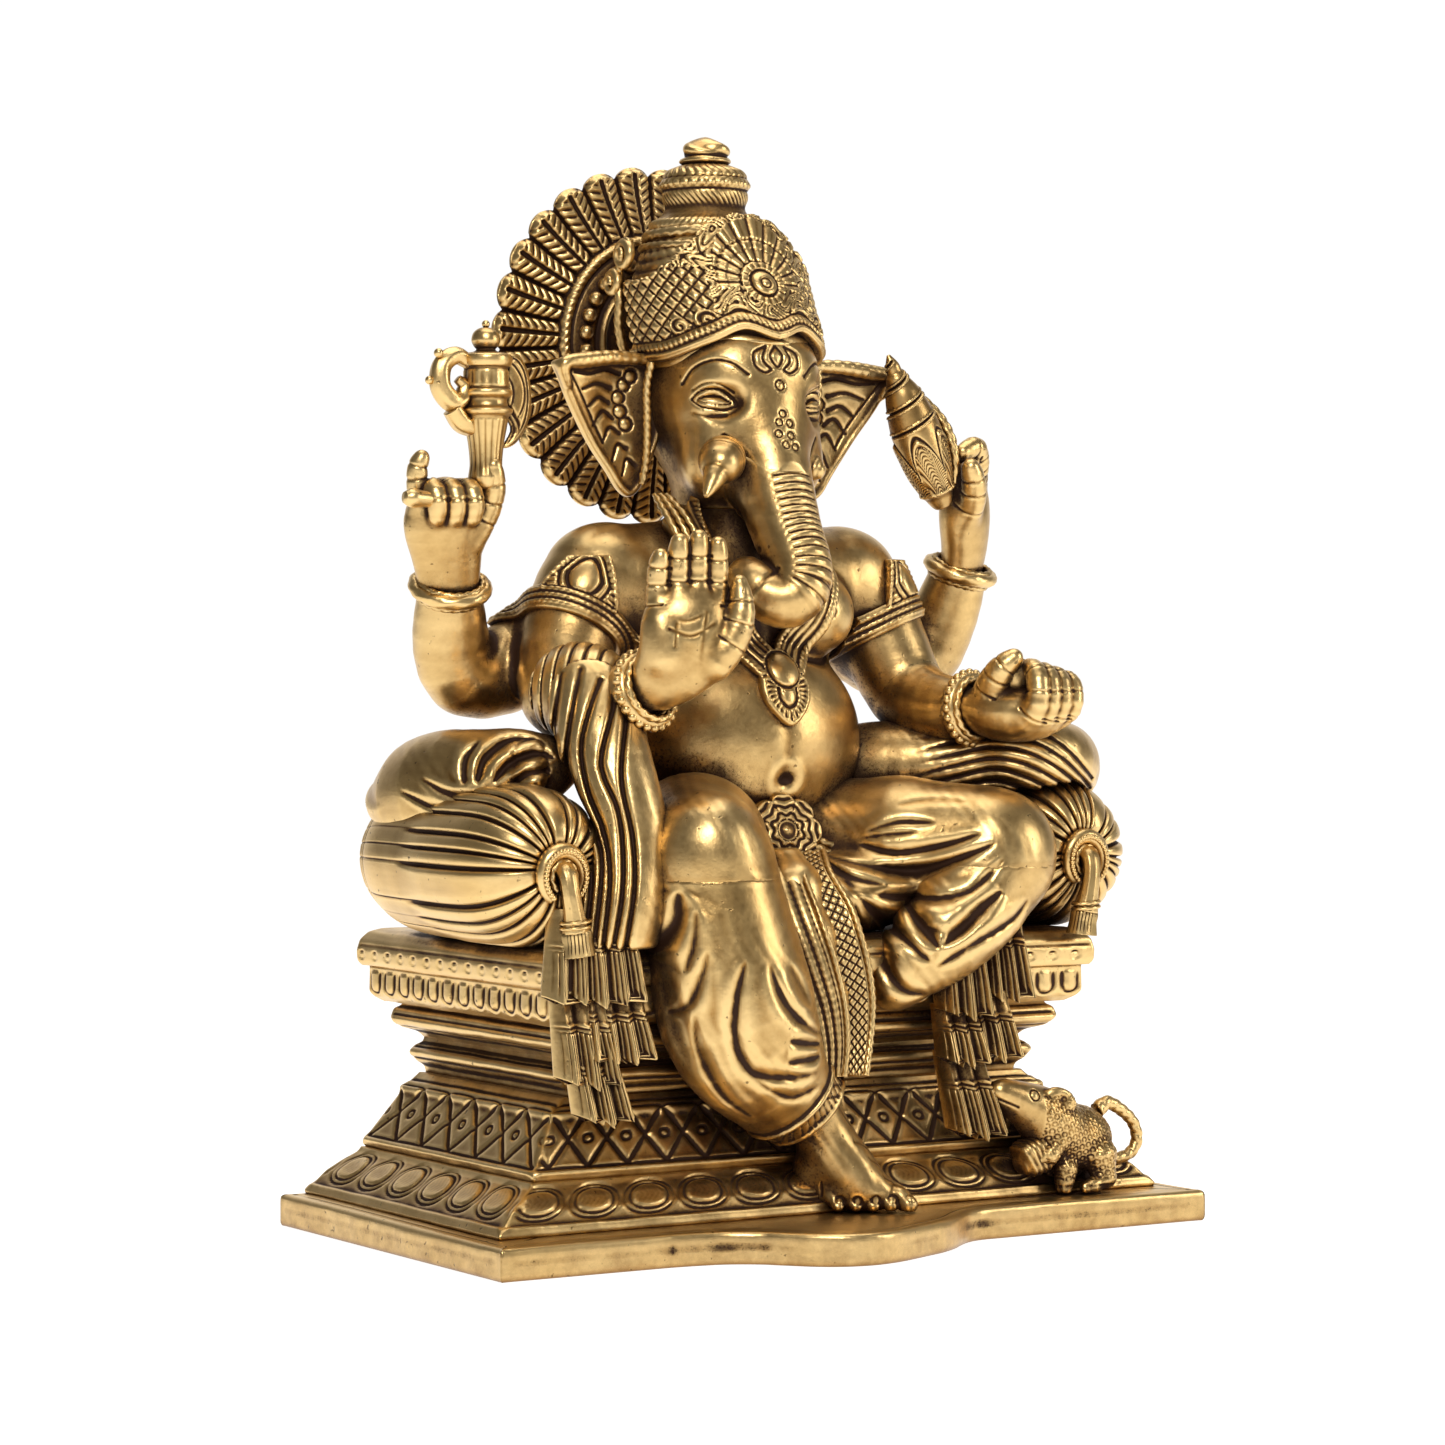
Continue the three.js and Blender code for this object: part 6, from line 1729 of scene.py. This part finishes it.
def make_bolsters():
    prof = smooth_path([(0.3, -43.2), (5, -45.2), (10.5, -44.9), (15.6, -41.6), (19.0, -36.4), (20.9, -29),
        (21.4, -18), (21.3, -4), (21.2, 12), (20.4, 24), (17.4, 33.5), (11.8, 39), (5, 41), (0.3, 41.2)], 170)
    th = turn(300)
    arc = lengths(prof)
    dr, dy = np.gradient(prof[:, 0]), np.gradient(prof[:, 1])
    L = np.hypot(dr, dy)
    nr, ny = dy / L, -dr / L
    for side, name in ((-1, "right_bolster"), (1, "left_bolster")):
        b = Bag()
        count = 23
        wob = 0.10 * np.sin(3 * th + side) + 0.06 * np.sin(7 * th + 2.0 * side)
        ph = (count * (th + wob) / 2)
        s = np.abs(np.sin(ph))[None]
        groove = bell(s, 0.34)
        where = (fade(arc, 5, 9) * (1 - 0.999 * fade(arc, 50, 66)))[:, None]
        d = -1.7 * groove * where + 0.55 * where * np.sqrt(s)
        lines = bell(np.abs(np.sin(ph * 1.0 + 0.3)), 0.10)
        d = d - 0.35 * lines * (fade(arc, 52, 60) * fade(arc, 104, 96))[:, None]
        d = d - 0.5 * bell(arc[:, None] - 88, 0.8) - 0.5 * bell(arc[:, None] - 90.5, 0.8)
        r = prof[:, :1] + d * nr[:, None]
        yy = prof[:, 1:2] + d * ny[:, None]
        wide = 1.0 + 0.02 * np.cos(2 * th)[None]
        cz = 103.2 + 0.2 * fade(prof[:, 1:2], -20, 20)
        rows = np.stack([side * 84.6 + np.cos(th)[None] * r * wide, yy + 0 * th[None],
            np.maximum(cz + np.sin(th)[None] * r, 82.1)], -1)
        b.sheet(rows)
        # Tied knot at the back end.
        knot = smooth_path([(side * 84.6, 40, 103, 2.4), (side * 84.6, 43, 103, 3.2),
            (side * 84.6, 45.4, 103, 4.4), (side * 84.6, 47, 103, 2.0)], 26)
        b.tube(knot[:, :3], knot[:, 3], 24, 0.0)
        piece(name, b)

        # Rosette: beaded crescent, open below, round a small boss, with a hanging tassel.
        b = Bag()
        c = np.array([side * 84.3, -46.4, 101.2])
        a = np.radians(np.linspace(-58, 238, 90))
        ring = c + np.stack([6.1 * np.cos(a), 0 * a - 0.4, 6.8 * np.sin(a)], -1)
        taper = 2.2 * (0.55 + 0.45 * np.sin(np.linspace(0, np.pi, 90))) 
        b.tube(ring, taper, 14)
        a2 = np.radians(np.linspace(-52, 232, 30))
        b.beads(c + np.stack([6.0 * np.cos(a2), 0 * a2 - 2.3, 6.7 * np.sin(a2)], -1), 0.85, n=10)
        in_ring = c + np.stack([3.5 * np.cos(a), 0 * a - 0.9, 4.0 * np.sin(a)], -1)
        b.tube(in_ring, 1.0, 10, 0.4, 3, 0.4)
        t = smooth_path([(*(c + [0, 0.4, 3.0]), 2.9), (*(c + [0.2, -2.6, 0.5]), 2.9),
            (*(c + [side * -0.4, -3.8, -4]), 2.7), (*(c + [side * -1.4, -3.9, -9.5]), 3.0),
            (*(c + [side * -2.2, -3.4, -14.0]), 4.0)], 44)
        b.tube(t[:, :3], t[:, 3], 26, 0.02, 9, 0.14, flat=0.8)
        t2 = smooth_path([(*(c + [side * -2.2, -3.4, -12.6]), 3.2), (*(c + [side * -2.5, -3.4, -14.6]), 4.4),
            (*(c + [side * -2.9, -3.2, -17.0]), 4.4), (*(c + [side * -3.3, -3.0, -20.5]), 5.0)], 40)
        b.tube(t2[:, :3], t2[:, 3], 44, 0.004, 22, 0.2, flat=0.62)
        for k in (-11.6, -13.0):
            aa = turn(60)
            b.tube(c + [side * -2.1, -3.5, k] + np.stack([3.9 * np.cos(aa), 3.2 * np.sin(aa), 0.3 * np.cos(aa)],
                -1), 0.6, 8, 0.5, 3, 0.4, closed=True)
        piece(name + "_rosette", b)

    # Right cover: a smooth dome of cloth over the top and back, with a tied corner in front.
    g = Grid((-112, -34, 98), (-62, 54, 146), 0.5)
    p = g.p
    d = chain(p, smooth_path([(-68, -17, 129.5, 5.5), (-73, -14, 128.5, 8.5), (-79, -8, 125.5, 12.5),
        (-85.5, 3, 122, 16.0), (-86.5, 18, 119.5, 17.0), (-84.5, 33, 114.5, 13)], 11), 3)
    under = np.hypot(p[0] + 84.6, p[2] - 103.2) - 21.2
    d = smax(d, 1.0 - under - 2.5, 1.5)
    d = smin(d, smax(np.abs(under - 0.9) - 1.3, chain(p, [(-83, -4, 126, 15), (-86, 22, 124, 19)], 3), 1.0),
        2.0)
    d = smin(d, ell(p, (-79.5, -21.5, 126.5), (4.6, 4.6, 4.4)), 1.6)
    cover = [([(-70.5, 124.5), (-68.5, 131), (-62.5, 135.5), (-55, 136.5)], 1.1, 1.6),
        ([(-66, 125), (-62, 129.8), (-55.5, 132.4), (-50, 131.5)], 1.1, 1.8),
        ([(-60.5, 124.8), (-56.5, 127.4), (-51, 128.2)], 1.0, 1.5), ([(-74, 124), (-73.5, 131), (-70, 136)],
        0.9, 0.9), ([(-86, 126), (-78, 122), (-68, 120.5), (-60, 124)], 0.9, 0.9),
        ([(-92, 122.5), (-80, 117.5), (-68, 117), (-58, 120.5)], 0.8, 0.9)]
    carved("right_bolster_cover", g, d, lambda q: folds(q, cover, 10) + brushed(q, 5.0) + 0.4
        * bell(np.sqrt((q[0] + 79.5) ** 2 + (q[1] + 21.5) ** 2) - 4.4, 0.7))

    # Left cover: a flap of the shawl thrown over the cushion, running out in pleats.
    g = Grid((30, -48, 100), (112, 50, 144), 0.5)
    p = g.p
    d = chain(p, smooth_path([(68, -34, 130, 6.5), (76, -36, 130.5, 8.5), (85, -33, 129, 9.5),
        (91, -20, 126, 13), (88.5, 0, 121.5, 16), (84, 18, 117.5, 16.5), (82, 31, 114, 13)], 17), 3)
    under = np.hypot(p[0] - 84.6, p[2] - 103.2) - 21.2
    d = smax(d, 1.0 - under - 2.5, 1.5)
    d = smin(d, chain(p, smooth_path([(40, 2, 126, 13), (50, -8, 127, 12.5), (61, -20, 127, 10.5),
        (70, -31, 129, 7.5)], 9), 2), 4)

    def flap(q):
        a, depth = turned_plane(q)
        lines = [[(48, 128 - 3.4 * k), (60, 131 - 3.3 * k), (70.5, 133 - 3.2 * k), (80, 131.5 - 3.6 * k),
            (90, 126 - 3.6 * k), (99, 118 - 3 * k)] for k in range(-2, 5)]
        r = None
        for pts in lines:
            e, _ = track((a, q[2]), smooth_path(pts, 20))
            r = e if r is None else np.minimum(r, e)
        front = (0.75 * bell(r, 0.55) - 0.2 * fade(r, 0, 1.6)) * fade(a, 46, 66)
        back = 0.5 * bell(np.abs(np.sin(0.42 * q[1] + 0.05 * q[2])), 0.22)
        return np.where(depth < 42, front, back * fade(depth, 42, 50)) + brushed(q, 6.0)

    carved("left_bolster_cover", g, d, flap)


# ------------------------------------------------------------------ held things and the mouse
def make_emblems():
    # Goad: a flared shaft, a ringed socket with a ball, a crescent blade and a scrolled hook.
    b = Bag()
    c = (-81.3, 0.0)
    prof = smooth_path([(0.4, 203), (3.4, 203.4), (4.6, 206), (4.2, 210), (4.6, 215), (5.3, 219), (6.0, 222.4),
        (7.0, 223.6), (7.2, 224.6), (6.0, 225.6), (5.8, 227.4), (7.0, 228.6), (7.0, 229.8), (6.1, 230.8),
        (5.9, 235.4), (6.8, 236.4), (7.2, 237.8),
                        (6.9, 239.2), (5.4, 239.8), (3.4, 240.2), (2.6, 240.8), (3.2, 241.6), (3.9, 243.2),
                        (3.4, 245.2), (2.0, 246.4), (0.4, 246.8)], 230)
    th = turn(72)
    r = prof[:, :1] + 0.18 * np.abs(np.sin(9 * th))[None] * ((prof[:, 1:2] > 206) & (prof[:, 1:2] < 222))
    r = r + 0.3 * np.sqrt(np.abs(np.sin(7 * th)))[None] * ((prof[:, 1:2] > 231) & (prof[:, 1:2] < 235))
    b.sheet(np.stack([c[0] + r * np.cos(th), c[1] + r * np.sin(th), prof[:, 1:2] + 0 * th], -1))
    g = Grid((-80, -5, 211), (-62, 5, 245), 0.28)
    outline = [tuple(q) for q in smooth_path([(-77.5, 238.8), (-73, 240.2), (-69.2, 236.6), (-67.6, 229.5),
        (-68.6, 221.6), (-72.2, 216.0), (-76.2, 214.6), (-73.6, 219.4), (-75.6, 223.2), (-77.8, 226),
        (-77.8, 233), (-77.5, 238.8)], 60)[:-1]]
    o = poly(g.x[:, 0, 0][:, None], g.z[0, 0, :][None], outline)[:, None, :]
    thick = 2.3 * np.clip(-o / 2.6, 0.12, 1) ** 0.6
    d = np.maximum(o, (np.abs(g.y) - thick) * 0.8)
    d = g.full(d)
    i, q = g.near(d, 1.6)
    oo = np.broadcast_to(o, g.n)[i]
    d[i] += 0.4 * bell(oo + 1.7, 0.35) + 0.25 * bell(np.abs(np.sin(0.9 * np.hypot(q[0] + 81, q[2] - 229))),
        0.25) * (oo < -2.2)
    b.field(d, g)
    hook = smooth_path([(-86.0, 0, 237.0, 2.0), (-90.5, 0, 238.8, 2.5), (-94.6, 0, 236.2, 2.8),
        (-95.0, 0, 230.6, 3.0), (-91.6, 0, 226.6, 3.1), (-88.6, 0, 227.6, 2.6), (-88.0, 0, 230.8, 2.0),
        (-90.0, 0, 232.6, 1.3)], 90)
    b.tube(hook[:, :3], hook[:, 3], 22, 0.05, 5, 0.12)
    low = smooth_path([(-84.6, 0, 219.5, 2.6), (-88.6, 0, 221.0, 3.0), (-91.4, 0, 224.6, 3.0)], 40)
    b.tube(low[:, :3], low[:, 3], 22, 0.05, 5, 0.12)
    b.beads([(-96.6, -1.8, 239.2), (-98.4, 0, 232.0), (-81.3, 0, 247.6)], [1.3, 1.2, 1.1], n=14)
    piece("goad_axe", b, slot="aged_brass")

    # Conch: a tapering whorled shell on end, with leaf-shaped lobes and a spiral line.
    o = np.array([66.6, -1.0, 203.5])
    ax = np.array([-0.42, -0.02, 0.91])
    ax /= np.linalg.norm(ax)
    e1 = np.cross(ax, (0, 1.0, 0))
    e1 /= np.linalg.norm(e1)
    e2 = np.cross(ax, e1)
    prof = smooth_path([(0.5, -3.0), (2.6, -2), (4.4, 2.2), (6.2, 8), (7.1, 15), (7.0, 22), (6.1, 28),
        (4.9, 33), (3.4, 36.4), (3.0, 38.0), (2.2, 39.4), (1.9, 41.6), (0.5, 44.6)], 260)
    th = turn(180)
    H = prof[:, 1:2]
    lobe = np.abs(np.cos(2.5 * th + 0.05 * H))
    r = prof[:, :1] * (1 + 0.06 * np.cos(2 * th)[None])
    spiral = ((H / 6.4 - th[None] / (2 * np.pi)) % 1.0)
    r = r - 0.9 * bell(spiral - 0.5, 0.06) * (H > 22) * (r > 1.2)
    r = r + 0.35 * np.sqrt(np.abs(np.sin(34 * th + 2.2 * H)))[...] * (np.abs(spiral - 0.5) < 0.16) * (
        np.abs(spiral - 0.5) > 0.05) * (H > 22) * (r > 1.5)
    leafy = (H < 23) & (H > 2)
    edge = H - (6 + 13 * lobe ** 0.6)
    r = r + leafy * (0.55 * bell(edge, 0.8) - 0.55 * bell(edge - 1.6, 0.6) + 0.28
        * np.abs(np.sin(2.4 * (H - 15 * lobe))) * (edge < -1.2))
    r = r + 0.6 * bell(H - 2.4, 0.8)
    b = Bag()
    b.sheet(o + ax * H[..., None] + (r * np.cos(th))[..., None] * e1 + (r * np.sin(th))[..., None] * e2)
    lip = []
    for t in np.linspace(0, 1, 60):
        hh = 3 + 27 * t
        rr = np.interp(hh, prof[:, 1], prof[:, 0]) + 0.5 + 1.3 * math.sin(math.pi * t)
        a = 2.5 + 0.7 * t
        lip.append((*(o + ax * hh + rr * math.cos(a) * e1 + rr * math.sin(a) * e2), 0.6 + 1.1
            * math.sin(math.pi * t)))
    lip = np.array(lip)
    b.tube(lip[:, :3], lip[:, 3], 14, 0.3, 3, 0.3)
    piece("conch", b, slot="aged_brass")


def make_mouse():
    g = Grid((44, -64, 8.6), (98, -34, 46), 0.33)
    p = g.p
    d = ell(p, (80.5, -49.5, 24.2), (13.2, 8.4, 9.6), (0, 8, 0))
    d = smin(d, ell(p, (73, -50.5, 27.5), (8, 7.2, 7.8)), 3)
    d = smin(d, chain(p, smooth_path([(74, -50.5, 27.5, 8.2), (68.5, -51, 31.6, 7.2), (62.0, -51.6, 35.0, 5.4),
        (56.6, -52, 37.6, 3.8), (53.6, -52.2, 38.8, 2.6)], 11), 1.5), 2.5)
    for s in (-1, 1):
        d = smin(d, ell(p, (71.6, -50.5 + s * 6.2, 35.6), (5.2, 1.8, 3.4), (0, 24, s * 12)), 0.8)
        d = smin(d, chain(p, [(71.5, -51 + s * 4.6, 24, 3.2), (68.4, -51.5 + s * 4.8, 20.6, 2.6),
            (65.6, -51.5 + s * 3.4, 19.6, 2.2)], 1), 1.2)
        d = smin(d, chain(p, [(86.5, -49.5 + s * 5.0, 19, 5.4), (87.5, -50 + s * 5.8, 13.2, 3.2),
            (82.5, -51 + s * 5.8, 10.9, 2.2), (80, -51.5 + s * 5.8, 10.6, 1.8)], 1.5), 1.5)
        d = smin(d, chain(p, [(75.5, -50 + s * 3.8, 16, 3.6), (74.5, -50.5 + s * 4, 10.6, 2.4)], 1.2), 1.6)
    d = smax(d, 9.3 - g.z, 0.4)

    def fur(q):
        x, y, z = q
        # Rows of small crescents over back and haunch, bolder on the head.
        u, v = x * 0.98 + 0.3 * z, z - 0.25 * x
        row = np.floor(v / 1.9)
        cu = (u / 2.2 + 0.5 * (row % 2)) % 1.0 - 0.5
        cv = v / 1.9 - row - 0.5
        e = np.hypot(cu * 2.2, cv * 1.9 + 0.25)
        cut = 0.24 * bell(e - 0.75, 0.3) * (x > 66) * (z > 13) * (z < 37)
        for s in (-1, 1):
            r = np.sqrt((x - 63.0) ** 2 + (y + 51.5 - s * 4.6) ** 2 + (z - 37.2) ** 2)
            cut = cut + 0.5 * bell(r - 1.6, 0.3) - 0.5 * bell(r, 0.8)
            r = np.sqrt((x - 71.6) ** 2 + (y + 50.5 - s * 8.0) ** 2 + ((z - 35.8)) ** 2)
            cut = cut + 1.0 * bell(r, 1.6)
        cut = cut + 0.5 * bell(np.hypot(x - 51.4, z - 36.4), 0.7) + 0.35 * bell(z - 34.2 + 0.45 * (58 - x) * -1,
            0.3) * (x < 58) * (x > 50)
        cut = cut + 0.3 * np.abs(np.sin(1.9 * y)) * (z < 11.6)
        return cut + brushed(q, 7.0, 0.05)

    def sweetmeat(b):
        b2 = Grid((56, -60, 10), (76, -43, 30), 0.33)
        x, y, z = b2.x - 65.4, b2.y + 52.0, b2.z - 20
        k = 3.2
        e = ((np.abs(x + 0.4 * z) / 5.8) ** k + (np.abs(y) / 5.2) ** k + (np.abs(z - 0.3 * x) / 5.6) ** k) ** (
            1 / k) - 1
        e = e * 4.6
        e = e + 0.25 * np.abs(np.sin(1.6 * x + 0.9 * z)) * 1.0
        b.field(e, b2)

    carved("mouse", g, d, fur, "aged_brass", sweetmeat, move=(-3.2, 0, 0))
    b = Bag()
    w = smooth_path([(90.0, -49, 31.0, 2.5), (93.5, -49, 33.0, 2.1), (98.0, -49, 31.0, 1.9),
        (102.6, -49, 27.0, 1.8), (104.0, -49, 22.0, 1.8), (101.6, -49, 18.4, 1.8), (97.0, -49, 17.2, 1.8),
        (92.6, -49, 18.2, 2.0)], 130)
    b.tube(w[:, :3] - [3.2, 0, 0], w[:, 3], 16, 0.34, 2, 0.14)
    piece("mouse_tail", b, slot="aged_brass")


make_throne()
make_head()
make_ears()
make_crown()
make_halo()
make_body()
make_hands()
make_bangles()
make_jewels()
make_legs()
make_cloth()
make_bolsters()
make_emblems()
make_mouse()


# ------------------------------------------------------------------ studio
# Metres and degrees. The camera was fitted to the throne's edges in the photograph.
FLOOR_HALF, FLOOR_GREY, FLOOR_ROUGHNESS, FLOOR_GLOW = 3.0, 0.6, 0.7, 0.86
SKY_AXIS = (0.528, 0.849, 0.0)  # level, away from the camera
SKY_DARK, SKY_LIGHT = (0.13, 0.125, 0.12, 1), (1.02, 1.02, 1.02, 1)
LENS_MM, SENSOR_MM = 104.95, 36.0
CAMERA_TURN, CAMERA_DIP = -31.9, 0.946
CAMERA_BACK, CAMERA_SIDE, CAMERA_HEIGHT = 1.1758, -0.00546, 0.15932


def studio():
    sc = bpy.context.scene
    floor = bpy.data.meshes.new("floor")
    s = FLOOR_HALF
    floor.from_pydata([(-s, -s, 0), (s, -s, 0), (s, s, 0), (-s, s, 0)], [], [(0, 1, 2, 3)])
    fo = bpy.data.objects.new("floor", floor)
    sc.collection.objects.link(fo)
    m = bpy.data.materials.new("floor")
    m.use_nodes = True
    bs = m.node_tree.nodes["Principled BSDF"]
    bs.inputs["Base Color"].default_value = (FLOOR_GREY, FLOOR_GREY, FLOOR_GREY, 1)
    bs.inputs["Roughness"].default_value = FLOOR_ROUGHNESS
    bs.inputs["Emission Color"].default_value = (1, 1, 1, 1)
    bs.inputs["Emission Strength"].default_value = FLOOR_GLOW
    floor.materials.append(m)

    world = bpy.data.worlds.new("studio")
    sc.world = world
    world.use_nodes = True
    nt = world.node_tree
    nt.nodes.clear()
    tc = nt.nodes.new("ShaderNodeTexCoord")
    dot = nt.nodes.new("ShaderNodeVectorMath")
    dot.operation = "DOT_PRODUCT"
    nt.links.new(tc.outputs["Generated"], dot.inputs[0])
    dot.inputs[1].default_value = SKY_AXIS
    ramp = nt.nodes.new("ShaderNodeValToRGB")
    nt.links.new(dot.outputs["Value"], ramp.inputs[0])
    el = ramp.color_ramp.elements
    el[0].position, el[0].color = 0.55, SKY_DARK
    el[1].position, el[1].color = 0.93, SKY_LIGHT
    bg = nt.nodes.new("ShaderNodeBackground")
    nt.links.new(ramp.outputs[0], bg.inputs[0])
    bg.inputs[1].default_value = 1.0
    out = nt.nodes.new("ShaderNodeOutputWorld")
    nt.links.new(bg.outputs[0], out.inputs[0])

    def area(name, loc, aim, size, power, colour=(1, 1, 1)):
        L = bpy.data.lights.new(name, "AREA")
        L.shape = "RECTANGLE"
        L.size, L.size_y = size
        L.energy = power
        L.color = colour
        o = bpy.data.objects.new(name, L)
        o.location = loc
        o.rotation_euler = (Vector(aim) - Vector(loc)).to_track_quat("-Z", "Y").to_euler()
        sc.collection.objects.link(o)

    area("key", (-0.55, -0.95, 0.95), (0, 0, 0.16), (0.45, 0.45), 8.5, (1, 0.985, 0.96))
    area("fill", (0.85, -0.75, 0.45), (0, 0, 0.14), (0.3, 0.6), 3.0, (1, 0.99, 0.97))
    area("top", (0.1, 0.1, 1.15), (0, 0, 0.1), (0.8, 0.8), 4.5)

    cam = bpy.data.cameras.new("camera")
    cam.sensor_width = SENSOR_MM
    cam.lens = LENS_MM
    cam.clip_end = 20
    co = bpy.data.objects.new("camera", cam)
    az, pitch = math.radians(CAMERA_TURN), math.radians(CAMERA_DIP)
    fw = Vector((-math.sin(az), math.cos(az), 0))
    right = Vector((math.cos(az), math.sin(az), 0))
    pos = -fw * CAMERA_BACK + right * CAMERA_SIDE + Vector((0, 0, CAMERA_HEIGHT))
    co.location = pos + Vector((0, SHIFT * 0.001, 0))
    aim = fw * math.cos(pitch) - Vector((0, 0, 1)) * math.sin(pitch)
    co.rotation_euler = aim.to_track_quat("-Z", "Y").to_euler()
    sc.collection.objects.link(co)
    sc.camera = co
    sc.view_settings.view_transform = "Standard"
    sc.view_settings.look = "None"


studio()
